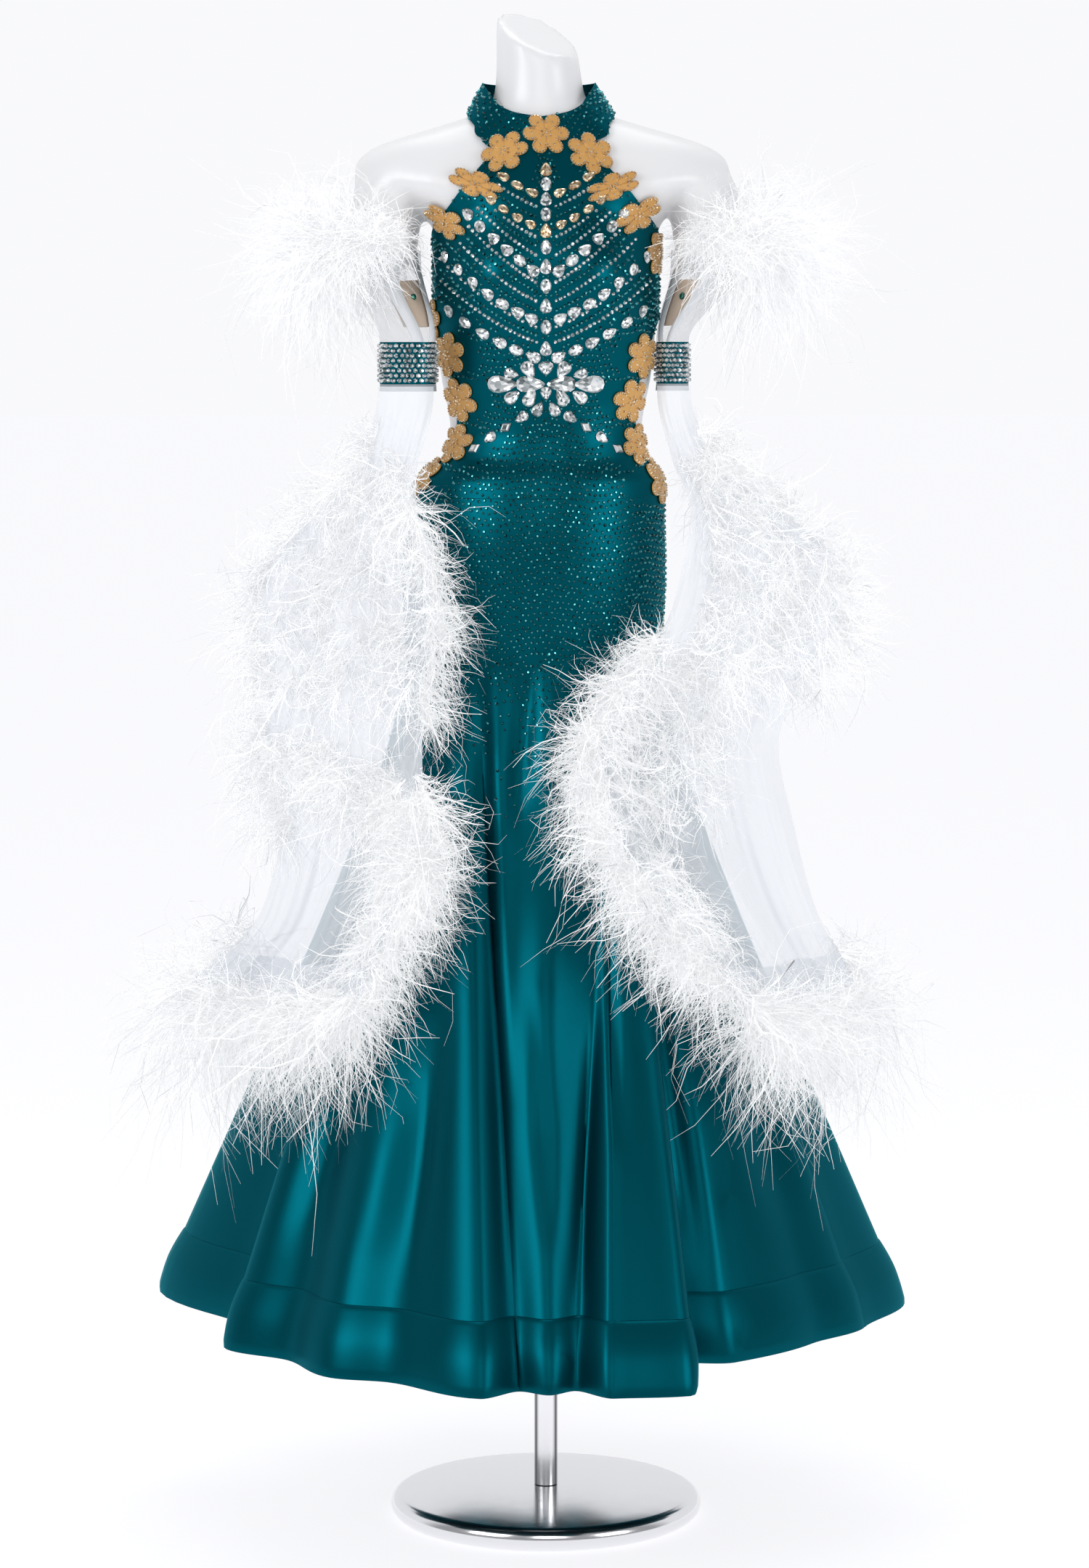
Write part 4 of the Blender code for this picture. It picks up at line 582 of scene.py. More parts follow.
def float_cloth(side):
    """Chiffon float, gathered round the armband above, a waved curtain below."""
    at, band = FLOAT_AT[side], ARMBANDS[side]

    def surface(across, z):
        start = stacked(at["inner_x"](z), at["inner_y"](z), z)
        end = stacked(at["outer_x"](z), at["outer_y"](z), z)
        chord = unit(end - start)
        front = np.cross(chord, (0, 0, 1.0))
        front = np.where(front[..., 1:2] > 0, -front, front)
        wave = at["depth"](z) * np.sin(tau * FLOAT_WAVES * across + FLOAT_WAVE_START)
        above_hem = (FLOAT_HEM_Z + FLOAT_SAG_HEIGHT - z) / FLOAT_SAG_HEIGHT
        low = FLOAT_HEM_SAG * np.sin(pi * across) * ease(above_hem)
        across = np.asarray(across, float)
        curtain = start + (end - start) * across[..., None] + front * wave[..., None]
        curtain[..., 2] -= low
        turn = -SIDES[side] * np.radians(mix(FLOAT_GATHER_START, FLOAT_GATHER_END, across))
        gathered = armband(side, FLOAT_LIFT)(turn, z)
        part = ease((band.bottom - BINDING_HEIGHT - z) / FLOAT_GATHER_DROP)
        return mix(gathered, curtain, np.asarray(part)[..., None])
    return surface


def mesh_from(name, points, faces, smooth=True):
    """A mesh from an array of points and one of faces with the same number of corners."""
    mesh = bpy.data.meshes.new(name)
    faces = np.asarray(faces, np.int32)
    mesh.vertices.add(len(points))
    mesh.vertices.foreach_set("co", np.asarray(points, np.float32).ravel())
    mesh.loops.add(faces.size)
    mesh.loops.foreach_set("vertex_index", faces.ravel())
    mesh.polygons.add(len(faces))
    mesh.polygons.foreach_set("loop_start", np.arange(0, faces.size, faces.shape[1], dtype=np.int32))
    mesh.update(calc_edges=True)
    if smooth:
        mesh.shade_smooth()
    else:
        mesh.shade_flat()
    return mesh


def add_piece(name, mesh, finish, slot, nodes=()):
    """A piece that rides on the dress, in a finish, in place of the nodes named."""
    mesh.materials.append(finish_of(finish))
    piece = bpy.data.objects.new(name, mesh)
    bpy.context.scene.collection.objects.link(piece)
    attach(piece, "root")
    if nodes:
        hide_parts(*nodes)
    return piece


def faced_outwards(mesh, merge=0.0):
    """Turns a mesh's faces outwards, after points closer than a distance are merged."""
    shape = bmesh.new()
    shape.from_mesh(mesh)
    if merge:
        bmesh.ops.remove_doubles(shape, verts=shape.verts, dist=merge)
    bmesh.ops.recalc_face_normals(shape, faces=shape.faces)
    shape.to_mesh(mesh)
    shape.free()


def grid_faces(rows, columns, round_about=False, start=0):
    """Faces of a grid of points, row by row."""
    row, column = np.meshgrid(np.arange(rows - 1), np.arange(columns if round_about else columns - 1),
                              indexing="ij")
    after = (column + 1) % columns
    corners = (row * columns + column, row * columns + after,
               (row + 1) * columns + after, (row + 1) * columns + column)
    return np.stack(corners, -1).reshape(-1, 4) + start


def shell(name, outer, inner, finish, slot, nodes=(), round_about=False):
    """A closed shell of cloth between two grids of points."""
    rows, columns = outer.shape[:2]
    count = rows * columns
    faces = [grid_faces(rows, columns, round_about), grid_faces(rows, columns, round_about, count)[:, ::-1]]
    spans = np.arange(columns if round_about else columns - 1)
    after = (spans + 1) % columns
    last = (rows - 1) * columns
    faces.append(np.stack((spans + count, after + count, after, spans), -1))
    faces.append(np.stack((spans + last, after + last, after + last + count, spans + last + count), -1))
    if not round_about:
        down = np.arange(rows - 1) * columns
        faces.append(np.stack((down, down + columns, down + columns + count, down + count), -1))
        ends = down + columns - 1
        faces.append(np.stack((ends + count, ends + columns + count, ends + columns, ends), -1))
    points = np.concatenate((outer.reshape(-1, 3), inner.reshape(-1, 3)))
    mesh = mesh_from(name, points, np.concatenate(faces))
    faced_outwards(mesh)
    mesh.set_sharp_from_angle(angle=radians(SHARP_CLOTH))
    return add_piece(name, mesh, finish, slot, nodes)


def cut_of(grid):
    """Width, length and area of the flat cut that a grid of cloth is made from."""
    width = np.linalg.norm(np.diff(grid, axis=1), axis=-1).sum(axis=1)
    length = np.linalg.norm(np.diff(grid, axis=0), axis=-1).sum(axis=0).mean()
    area = width.mean() * length
    return (float(width.max()), float(length)), float(area)


def declare(grid):
    """Works out the size and area of the flat cut of a grid of cloth, without keeping them."""
    flat, area = cut_of(grid)
    flat = tuple(max(side, NARROWEST_CUT) for side in flat)
    max(area, LEAST_AREA_SHARE * flat[0] * flat[1])


# Finishes

def new_group(name, inputs, outputs):
    """A node group with named number inputs and outputs."""
    group = bpy.data.node_groups.new(name, "ShaderNodeTree")
    for label, value in inputs:
        socket = group.interface.new_socket(label, in_out="INPUT", socket_type="NodeSocketFloat")
        socket.default_value = value
    for label, kind in outputs:
        group.interface.new_socket(label, in_out="OUTPUT", socket_type=kind)
    return group, group.nodes.new("NodeGroupInput"), group.nodes.new("NodeGroupOutput")


def cloth_weave():
    """Threads across and along the cloth, with slubs: a height, and a mask of lighter and darker areas."""
    group, given, made = new_group("cloth weave", [("Threads", 900.0), ("Unevenness", 0.3)],
                                   [("Height", "NodeSocketFloat"), ("Shade", "NodeSocketFloat")])
    nodes, link = group.nodes, group.links.new
    place = nodes.new("ShaderNodeTexCoord")
    threads = nodes.new("ShaderNodeTexNoise")
    threads.inputs["Detail"].default_value = 3.0
    stretch = nodes.new("ShaderNodeMapping")
    stretch.inputs["Scale"].default_value = (1.0, 1.0, 0.12)
    broad = nodes.new("ShaderNodeTexNoise")
    broad.inputs["Scale"].default_value = 7.0
    broad.inputs["Detail"].default_value = 4.0
    scaled = nodes.new("ShaderNodeMath")
    scaled.operation = "MULTIPLY"
    link(place.outputs["Object"], stretch.inputs["Vector"])
    link(stretch.outputs["Vector"], threads.inputs["Vector"])
    link(given.outputs["Threads"], threads.inputs["Scale"])
    link(place.outputs["Object"], broad.inputs["Vector"])
    link(broad.outputs["Fac"], scaled.inputs[0])
    link(given.outputs["Unevenness"], scaled.inputs[1])
    link(threads.outputs["Fac"], made.inputs["Height"])
    link(scaled.outputs["Value"], made.inputs["Shade"])
    return group


def finish_of(name):
    """The material of a finish, made once."""
    found = bpy.data.materials.get("dress_" + name)
    if found:
        return found
    material = bpy.data.materials.new("dress_" + name)
    material.use_nodes = True
    shader = material.node_tree.nodes["Principled BSDF"]
    FINISHES[name](material, shader)
    return material


def set_inputs(shader, **values):
    for label, value in values.items():
        shader.inputs[label.replace("_", " ")].default_value = value


def two_tones(material, shader, mask, dark, light):
    """Base colour between two tones by a mask."""
    tones = material.node_tree.nodes.new("ShaderNodeMix")
    tones.data_type = "RGBA"
    tones.inputs["A"].default_value = (*dark, 1)
    tones.inputs["B"].default_value = (*light, 1)
    material.node_tree.links.new(mask, tones.inputs["Factor"])
    material.node_tree.links.new(tones.outputs["Result"], shader.inputs["Base Color"])


def woven(material, shader, threads, unevenness, depth, dark, light):
    """Colour and bump of a woven cloth."""
    nodes, link = material.node_tree.nodes, material.node_tree.links.new
    weave = nodes.new("ShaderNodeGroup")
    weave.node_tree = bpy.data.node_groups.get("cloth weave") or cloth_weave()
    weave.inputs["Threads"].default_value = threads
    weave.inputs["Unevenness"].default_value = unevenness
    bump = nodes.new("ShaderNodeBump")
    bump.inputs["Strength"].default_value = depth
    bump.inputs["Distance"].default_value = 0.0005
    link(weave.outputs["Height"], bump.inputs["Height"])
    link(bump.outputs["Normal"], shader.inputs["Normal"])
    two_tones(material, shader, weave.outputs["Shade"], dark, light)


def satin_finish(material, shader):
    colour = tuple(bpy.context.scene.dress.satin_colour)
    deep = tuple(channel * 0.8 for channel in colour)
    woven(material, shader, 1400.0, 0.5, 0.10, deep, colour)
    set_inputs(shader, Metallic=0.92, Roughness=0.38, Anisotropic=0.30, Specular_Tint=(0.10, 0.72, 0.80, 1))


def chiffon_finish(material, shader):
    woven(material, shader, 1100.0, 0.6, 0.15, (0.72, 0.75, 0.80), (0.88, 0.90, 0.93))
    # Painted light: a faint white emission makes the chiffon glow brighter than its lighting gives
    set_inputs(shader, Roughness=0.65, Alpha=0.66, Emission_Color=(0.95, 0.97, 1.0, 1),
               Emission_Strength=0.10)


def sheer_finish(material, shader):
    woven(material, shader, 1100.0, 0.6, 0.10, (0.70, 0.72, 0.75), (0.86, 0.87, 0.89))
    set_inputs(shader, Roughness=0.6, Alpha=0.32)


def ribbon_finish(material, shader):
    woven(material, shader, 1500.0, 0.5, 0.10, (0.62, 0.64, 0.67), (0.86, 0.87, 0.89))
    set_inputs(shader, Roughness=0.35, Sheen_Weight=0.2)


def nude_finish(material, shader):
    woven(material, shader, 700.0, 0.8, 0.35, (0.50, 0.38, 0.29), (0.72, 0.60, 0.49))
    set_inputs(shader, Roughness=0.75)


def binding_finish(material, shader):
    woven(material, shader, 800.0, 0.6, 0.30, (0.30, 0.34, 0.37), (0.50, 0.54, 0.57))
    set_inputs(shader, Roughness=0.50, Alpha=0.85)


def gold_finish(material, shader):
    woven(material, shader, 900.0, 0.9, 0.60, (0.46, 0.22, 0.050), (0.80, 0.46, 0.14))
    set_inputs(shader, Metallic=0.25, Roughness=0.48, Sheen_Weight=0.2)


def mask_of(material, name):
    """The value that a piece's mesh holds under a name."""
    node = material.node_tree.nodes.new("ShaderNodeAttribute")
    node.attribute_name = name
    return node.outputs["Fac"]


def noise_of(material, scale):
    """Noise on the piece's own coordinates."""
    nodes, link = material.node_tree.nodes, material.node_tree.links.new
    place = nodes.new("ShaderNodeTexCoord")
    noise = nodes.new("ShaderNodeTexNoise")
    noise.inputs["Scale"].default_value = scale
    link(place.outputs["Object"], noise.inputs["Vector"])
    return noise.outputs["Fac"]


def feather_finish(material, shader):
    two_tones(material, shader, mask_of(material, "tone"), (0.70, 0.71, 0.73), (1.0, 1.0, 1.0))
    # Painted light: a faint white emission makes the strands glow and lifts the shade between them
    set_inputs(shader, Roughness=0.80, Emission_Color=(1.0, 1.0, 1.0, 1), Emission_Strength=0.155)


def stone_finish(dark, light, metallic):
    """A cut stone whose facets carry painted reflections: each facet's colour lies between a dark and a light
    tone by its glint.
    """
    def build(material, shader):
        two_tones(material, shader, mask_of(material, "glint"), dark, light)
        set_inputs(shader, Metallic=metallic, Roughness=0.07, Coat_Weight=0.6, Coat_Roughness=0.03)
    return build


def form_finish(material, shader):
    two_tones(material, shader, noise_of(material, 6.0), (0.74, 0.745, 0.76), (0.80, 0.80, 0.81))
    set_inputs(shader, Roughness=0.36, Coat_Weight=0.25, Coat_Roughness=0.20)


def chrome_finish(material, shader):
    spread = material.node_tree.nodes.new("ShaderNodeMapRange")
    spread.inputs["To Min"].default_value = 0.14
    spread.inputs["To Max"].default_value = 0.20
    material.node_tree.links.new(noise_of(material, 60.0), spread.inputs["Value"])
    material.node_tree.links.new(spread.outputs["Result"], shader.inputs["Roughness"])
    set_inputs(shader, Base_Color=(0.86, 0.86, 0.88, 1), Metallic=1.0)


def pole_painted_reflection_finish(material, shader):
    """Chrome of a thin round pole with a painted reflection: its base colour is bright along its middle and
    dark towards both edges, by how squarely it faces the view.
    """
    nodes, link = material.node_tree.nodes, material.node_tree.links.new
    chrome_finish(material, shader)
    # Painted reflection: ramp of the facing, light where the pole faces the view, dark and then grey towards
    # its edges
    facing = nodes.new("ShaderNodeLayerWeight")
    tones = nodes.new("ShaderNodeValToRGB")
    stops = tones.color_ramp.elements
    stops[0].position, stops[0].color = 0.20, (0.90, 0.90, 0.92, 1)
    stops[1].position, stops[1].color = 0.45, (0.05, 0.05, 0.055, 1)
    edge = stops.new(0.80)
    edge.color = (0.60, 0.60, 0.62, 1)
    link(facing.outputs["Facing"], tones.inputs["Fac"])
    link(tones.outputs["Color"], shader.inputs["Base Color"])


def stage_finish(material, shader):
    set_inputs(shader, Base_Color=(0.24, 0.24, 0.25, 1), Roughness=1.0, Specular_IOR_Level=0.0,
               Emission_Color=(0.975, 0.978, 1.0, 1), Emission_Strength=0.84)


FINISHES = {
    "satin": satin_finish,
    "chiffon": chiffon_finish,
    "sheer_sleeve": sheer_finish,
    "slit_ribbon": ribbon_finish,
    "nude_mesh": nude_finish,
    "binding": binding_finish,
    "gold_embroidery": gold_finish,
    # Stones: each facet's colour is a painted reflection that lies between the dark and the light tone
    "gold_stud": stone_finish((0.40, 0.22, 0.07), (1.0, 0.90, 0.70), 0.7),
    "clear_stone": stone_finish((0.10, 0.14, 0.15), (1.0, 1.0, 1.0), 0.50),
    "champagne_stone": stone_finish((0.30, 0.15, 0.05), (0.98, 0.82, 0.58), 0.75),
    "teal_stone": stone_finish((0.0, 0.012, 0.015), (0.05, 0.36, 0.39), 0.85),
    "green_stone": stone_finish((0.0, 0.03, 0.02), (0.02, 0.22, 0.15), 0.6),
    "feather": feather_finish,
    "form_gloss": form_finish,
    "chrome": chrome_finish,
    "pole_chrome": pole_painted_reflection_finish,
    "stage": stage_finish,
}


# Stones

def gem(outline, levels):
    """Points and triangles of a cut stone, and the number of each triangle's facet.

    The stone has a ring of its outline at each scale and height, and is closed above and below.
    """
    sides = len(outline)
    points = [np.column_stack((outline * scale, np.full(sides, height))) for scale, height in levels]
    points.append(np.array(((0, 0, levels[0][1]), (0, 0, levels[-1][1]))))
    triangles, facets = [], []
    k = np.arange(sides)
    after = (k + 1) % sides
    for level in range(len(levels) - 1):
        low, high = level * sides, (level + 1) * sides
        triangles += [np.column_stack((low + k, low + after, high + after)),
                      np.column_stack((low + k, high + after, high + k))]
        facets += [level * sides + k] * 2
    bottom, top, last = len(levels) * sides, len(levels) * sides + 1, (len(levels) - 1) * sides
    triangles += [np.column_stack((np.full(sides, bottom), after, k)),
                  np.column_stack((np.full(sides, top), last + k, last + after))]
    facets += [np.full(sides, last), last + 1 + k // 2]
    return np.concatenate(points), np.concatenate(triangles), np.concatenate(facets)


def ring(sides, spin=0.0):
    angle = tau * (np.arange(sides) + spin) / sides
    return np.column_stack((np.cos(angle), np.sin(angle)))


def pear(sides):
    """Outline of a pear stone, one long and one wide, with its point towards +X."""
    angle = tau * np.arange(sides) / sides
    width = np.sin(angle) * (1 - PEAR_POINT * np.cos(angle))
    return np.column_stack((np.cos(angle), width))


def navette(sides):
    """Outline of a stone that is pointed at both ends."""
    angle = tau * np.arange(sides) / sides
    return np.column_stack((np.cos(angle), np.sin(angle) * np.abs(np.sin(angle)) ** NAVETTE_POINT))


SMALL_GEM = gem(ring(6), ((1.0, -0.1), (0.55, 1.0)))
STUD = gem(ring(6), ((1.0, -0.2), (0.62, 1.0)))
LARGE_LEVELS = ((0.92, -0.3), (1.0, 0.25), (0.80, 0.72), (0.48, 1.0))
CUTS = {
    "pear": gem(pear(14), LARGE_LEVELS),
    "oval": gem(ring(12), LARGE_LEVELS),
    "navette": gem(navette(14), LARGE_LEVELS),
    "diamond": gem(ring(4), LARGE_LEVELS),
}


def set_stones(name, cut, places, normals, alongs, lengths, widths, heights, finish, slot, seed):
    """Stones of one cut as one joined piece, each on its place, turned to its normal and long side."""
    template, triangles, facets = cut
    normals = unit(normals)
    alongs = unit(alongs - normals * np.sum(alongs * normals, -1, keepdims=True))
    sides = np.cross(normals, alongs)
    count = len(places)
    lengths, widths, heights = (np.broadcast_to(value, count)[:, None, None] for value in
                                (lengths, widths, heights))
    points = (places[:, None] + alongs[:, None] * template[None, :, :1] * lengths / 2
              + sides[:, None] * template[None, :, 1:2] * widths / 2
              + normals[:, None] * template[None, :, 2:] * heights)
    faces = triangles[None] + (np.arange(count) * len(template))[:, None, None]
    mesh = mesh_from(name, points.reshape(-1, 3), faces.reshape(-1, 3), smooth=False)
    chance = np.random.default_rng(seed)
    # Painted reflection: each facet gets a random glint, from dark to light, in place of what it would mirror
    glints = chance.beta(*GLINTS, (count, facets.max() + 1))[:, facets]
    layer = mesh.attributes.new("glint", "FLOAT", "FACE")
    layer.data.foreach_set("value", glints.astype(np.float32).ravel())
    return add_piece(name, mesh, finish, slot)


def level_across(normals):
    """A level direction across each normal."""
    return np.cross(normals, (0.0, 0.0, 1.0)) + NEVER_ZERO


def join_pieces(name, pieces):
    """Several pieces of one finish as one piece."""
    bpy.ops.object.select_all(action="DESELECT")
    for piece in pieces:
        piece.select_set(True)
    bpy.context.view_layer.objects.active = pieces[0]
    bpy.ops.object.join()
    pieces[0].name = name
    return pieces[0]


def on_dress(trees, origins, aims, reach):
    """Places and normals where rays meet the satin within a reach."""
    places, normals = [], []
    for origin, aim in zip(origins, aims):
        best = None
        for tree in trees:
            place, normal, _, distance = tree.ray_cast(Vector(origin), Vector(aim), reach)
            if place is not None and (best is None or distance < best[2]):
                best = (place, normal, distance)
        if best is not None:
            places.append(best[0])
            normals.append(best[1])
    return np.array(places), np.array(normals)


def satin_trees():
    ready = bpy.context.evaluated_depsgraph_get()
    satin = [piece for piece in bpy.data.objects if piece.active_material and
             piece.active_material.name == "dress_satin"]
    return [BVHTree.FromObject(piece, ready) for piece in satin]


def crystal_list():
    """Every large crystal: place across and up, length, width, slant, cut and finish."""
    stones = []
    for row in STONE_ROWS:
        slant = np.arctan2(row.outer_z - row.inner_z, row.outer_x - row.inner_x)
        for k in range(row.count):
            part = k / (row.count - 1)
            x = mix(row.outer_x, row.inner_x, part)
            z = mix(row.outer_z, row.inner_z, part) - row.sag * 4 * part * (1 - part)
            cut = "pear" if k % 3 != 1 else "oval"
            if row.outer_z < DIAMONDS_BELOW_Z:
                cut = "diamond" if k % 2 == 0 else "pear"
            for side in (-1, 1):
                stones.append((side * x, z, row.length, row.width, side * slant + (pi if side < 0 else 0),
                               cut, row.finish))
    for number, z in enumerate(STONE_COLUMN_Z):
        finish = "champagne_stone" if number in CHAMPAGNE_COLUMN else "clear_stone"
        stones.append((0.0, z, *COLUMN_STONE, pi / 2, "pear" if number % 2 == 0 else "oval", finish))
    for stone in CLUSTER:
        for side in ((1,) if stone.x == 0 else (-1, 1)):
            stones.append((side * stone.x, CLUSTER_Z + stone.z, stone.length, stone.width,
                           side * radians(stone.slant) + (pi if side > 0 else 0), "pear", "clear_stone"))
    return stones


def slant_rows():
    """Ends of the fine rows between the crystal rows, with the kind of stone in each."""
    for count, upper, lower in zip(FINE_ROWS, STONE_ROWS, STONE_ROWS[1:]):
        for k in range(1, count + 1):
            part = k / (count + 1)
            yield ([mix(getattr(upper, label), getattr(lower, label), part)
                    for label in ("outer_x", "outer_z", "inner_x", "inner_z", "sag")],
                   "clear_stone" if k % 2 else "teal_stone")


def fine_stones():
    """Places of the small stones on the front: rows that follow the crystals, and their kinds."""
    found = {"clear_stone": [], "teal_stone": []}
    for (outer_x, outer_z, inner_x, inner_z, sag), kind in slant_rows():
        length = np.hypot(outer_x - inner_x, outer_z - inner_z)
        steps = int(length / FINE_ROW_STEP)
        for k in range(-FINE_ROW_EXTRA, steps + FINE_ROW_EXTRA):
            part = k / steps
            x = mix(outer_x, inner_x, part)
            z = mix(outer_z, inner_z, part) - sag * 4 * part * (1 - part)
            if abs(x) > FINE_ROW_INNER_X:
                found[kind] += [(x, z), (-x, z)]
    return found


class DressSettings(PropertyGroup):
    """Colours and sizes that a user may change."""

    satin_colour: FloatVectorProperty(
        name="Satin", description="Colour of the satin", subtype="COLOR", size=3, min=0, max=1,
        default=(0.0, 0.092, 0.124))
    stone_size: FloatProperty(
        name="Fine stones", description="Width of the small stones", default=0.0040, min=0.002, max=0.008,
        subtype="DISTANCE", unit="LENGTH")
    strand_share: FloatProperty(
        name="Feather strands", description="Share of the feather strands that is made", default=0.41,
        min=0.05, max=1.0, subtype="FACTOR")
    key_power: FloatProperty(
        name="Key light", description="Power of the main light", default=62.0, min=0, subtype="POWER",
        unit="POWER")


class DRESS_OT_stand(Operator):
    """Builds the chrome base and pole and the white form"""

    bl_idname = "dress.stand"
    bl_label = "Stand and form"

    def execute(self, context):
        inner = BASE_RADIUS - BASE_EDGE
        profile = [(0.0, 0.0)]
        for k in range(BASE_EDGE_STEPS + 1):
            angle = mix(-pi / 2, pi / 2, k / BASE_EDGE_STEPS)
            profile.append((inner + BASE_EDGE * cos(angle), BASE_EDGE * (1 + sin(angle))))
        for k in range(1, BASE_DOME_STEPS + 1):
            part = k / BASE_DOME_STEPS
            profile.append((mix(inner, 0.0, part), mix(2 * BASE_EDGE, BASE_DOME, 1 - (1 - part) ** 2)))
        turned("chrome_base", profile, BASE_SIDES, ["stand_base"])
        low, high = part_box("stand_pole")
        inner = POLE_RADIUS - POLE_BEVEL
        turned("chrome_pole", [(0, low.z), (inner, low.z), (POLE_RADIUS, low.z + POLE_BEVEL),
                               (POLE_RADIUS, high.z - POLE_BEVEL), (inner, high.z), (0, high.z)],
               POLE_SIDES, ["stand_pole"], "pole_chrome")
        white_form()
        return {"FINISHED"}


def turned(name, profile, sides, nodes, finish="chrome"):
    """A chrome piece turned about Z with the spin tool, from a profile that starts and ends on the axis."""
    bpy.ops.object.select_all(action="DESELECT")
    mesh = bpy.data.meshes.new(name)
    mesh.from_pydata([(radius, 0, z) for radius, z in profile],
                     [(k, k + 1) for k in range(len(profile) - 1)], [])
    piece = add_piece(name, mesh, finish, "chrome", nodes)
    bpy.context.view_layer.objects.active = piece
    piece.select_set(True)
    bpy.ops.object.mode_set(mode="EDIT")
    bpy.ops.mesh.select_all(action="SELECT")
    bpy.ops.mesh.spin(steps=sides, angle=tau, center=(0, 0, 0), axis=(0, 0, 1))
    bpy.ops.mesh.select_all(action="SELECT")
    bpy.ops.mesh.remove_doubles(threshold=MERGE_DISTANCE)
    bpy.ops.mesh.normals_make_consistent(inside=False)
    bpy.ops.object.mode_set(mode="OBJECT")
    bpy.ops.object.shade_smooth_by_angle(angle=radians(SHARP_CHROME))
    return piece


def white_form():
    """The smooth white torso, with its cut neck and short shoulder ends, as one closed skin."""
    turns = np.linspace(0, tau, FORM_SIDES, endpoint=False)
    heights = np.concatenate([np.linspace(*rings) for rings in FORM_RINGS])
    rings = body(turns[None, :], heights[:, None])
    top = body(turns, np.full(FORM_SIDES, NECK_TOP_Z))
    top[:, 2] += NECK_TILT_SIDE * (top[:, 0] - BODY_AT["shift"](NECK_TOP_Z)) + NECK_TILT_FRONT * top[:, 1]
    parts = [np.concatenate((rings, top[None]))]
    around = np.linspace(0, tau, STUB_SIDES, endpoint=False)
    levels = np.linspace(STUB[0].z, STUB[-1].z, STUB_RINGS)
    for side in SIDES:
        parts.append(stub(side)(around[None, :], levels[:, None]))
    shape = bmesh.new()
    for grid in parts:
        loops = [[shape.verts.new(point) for point in row] for row in grid]
        wide = len(loops[0])
        for low, high in zip(loops, loops[1:]):
            for k in range(wide):
                shape.faces.new((low[k], low[(k + 1) % wide], high[(k + 1) % wide], high[k]))
        shape.faces.new(list(reversed(loops[0])))
        shape.faces.new(loops[-1])
    mesh = bpy.data.meshes.new("white_form")
    shape.to_mesh(mesh)
    shape.free()
    piece = add_piece("white_form", mesh, "form_gloss", "form_gloss", ["dress_form"])
    bpy.ops.object.select_all(action="DESELECT")
    bpy.context.view_layer.objects.active = piece
    piece.select_set(True)
    remesh = piece.modifiers.new("skin", "REMESH")
    remesh.mode = "VOXEL"
    remesh.voxel_size = FORM_VOXEL
    smooth = piece.modifiers.new("polish", "SMOOTH")
    smooth.factor = POLISH
    smooth.iterations = POLISH_ROUNDS
    for modifier in ("skin", "polish"):
        bpy.ops.object.modifier_apply(modifier=modifier)
    piece.data.shade_smooth()
    return piece


class DRESS_OT_bodice(Operator):
    """Builds the front bodice, back band and collar in satin"""

    bl_idname = "dress.bodice"
    bl_label = "Bodice and collar"

    def execute(self, context):
        across = np.linspace(0, 1, BODICE_COLUMNS)
        heights = np.concatenate([np.linspace(*rows) for rows in BODICE_ROWS])
        rows = [mix(turn_at(-EDGE_AT["left"](z), z), turn_at(EDGE_AT["right"](z), z), across)
                for z in heights]
        for z in np.linspace(*BODICE_FOOT_ROWS):
            rows.append(mix(turn_at(-PAST_SIDE_X, z), turn_at(PAST_SIDE_X, z), across))
        heights = np.concatenate((heights, np.linspace(*BODICE_FOOT_ROWS)))
        worn_shell("bodice_panel", np.array(rows), heights[:, None], ["bodice_front"])
        start = pi / 2 + radians(BAND_START)
        turns = np.linspace(start, tau - start, BAND_COLUMNS)[None, :]
        narrow = ease(BAND_NARROWING * np.maximum(0.0, -np.cos(turns)))
        down = np.linspace(0, 1, STRIP_ROWS)[:, None]
        heights = mix(mix(*BAND_HIGH, narrow), mix(*BAND_LOW, narrow), down)
        worn_shell("back_strap", turns + 0 * down, heights, ["back_band"])
        turns = np.linspace(COLLAR_OPENING - pi, pi - COLLAR_OPENING, COLLAR_COLUMNS)[None, :] + 0 * down
        part = 1 - down + 0 * turns
        outer, inner = (moved_out(collar, turns, part, distance) for distance in (SATIN_WALL, 0.0))
        piece = shell("stand_collar", outer, inner, "satin", "satin", ["collar"])
        declare(outer)
        return {"FINISHED"}


def worn_shell(name, turns, heights, nodes):
    """Satin that lies on the form between two faces."""
    turns, heights = np.broadcast_arrays(turns, heights)
    outer = worn(turns, heights, SATIN_WALL)
    piece = shell(name, outer, worn(turns, heights), "satin", "satin", nodes)
    declare(outer)
    return piece


class DRESS_OT_skirt(Operator):
    """Builds the six gores and the stiff band under each"""

    bl_idname = "dress.skirt"
    bl_label = "Skirt and hem band"

    def execute(self, context):
        starts = [index for index, fold in enumerate(FOLDS) if fold.gore]
        for number, start in enumerate(starts):
            end = starts[number + 1] if number + 1 < len(starts) else starts[0] + len(FOLDS)
            places = np.linspace(start, end, (end - start) * COLUMNS_A_FOLD + 1)[None, :]
            name = FOLDS[start].gore
            top = skirt_top(fold_at(places)[0])
            down = np.linspace(0, 1, SKIRT_ROWS)[:, None]
            heights = mix(top, HEM_SEAM_Z - HEM_TUCK, down)
            gore(name + "_gore", places + 0 * down, heights, SATIN_WALL, 0.0, "skirt_" + name)
            heights = mix(HEM_SEAM_Z, HEM_Z, np.linspace(0, 1, HEM_ROWS)[:, None] ** HEM_CROWDING)
            gore(name + "_hem", places + 0 * heights, heights + 0 * places, HEM_BAND_WALL,
                 (SATIN_WALL - HEM_BAND_WALL) / 2, "hem_" + name)
        return {"FINISHED"}


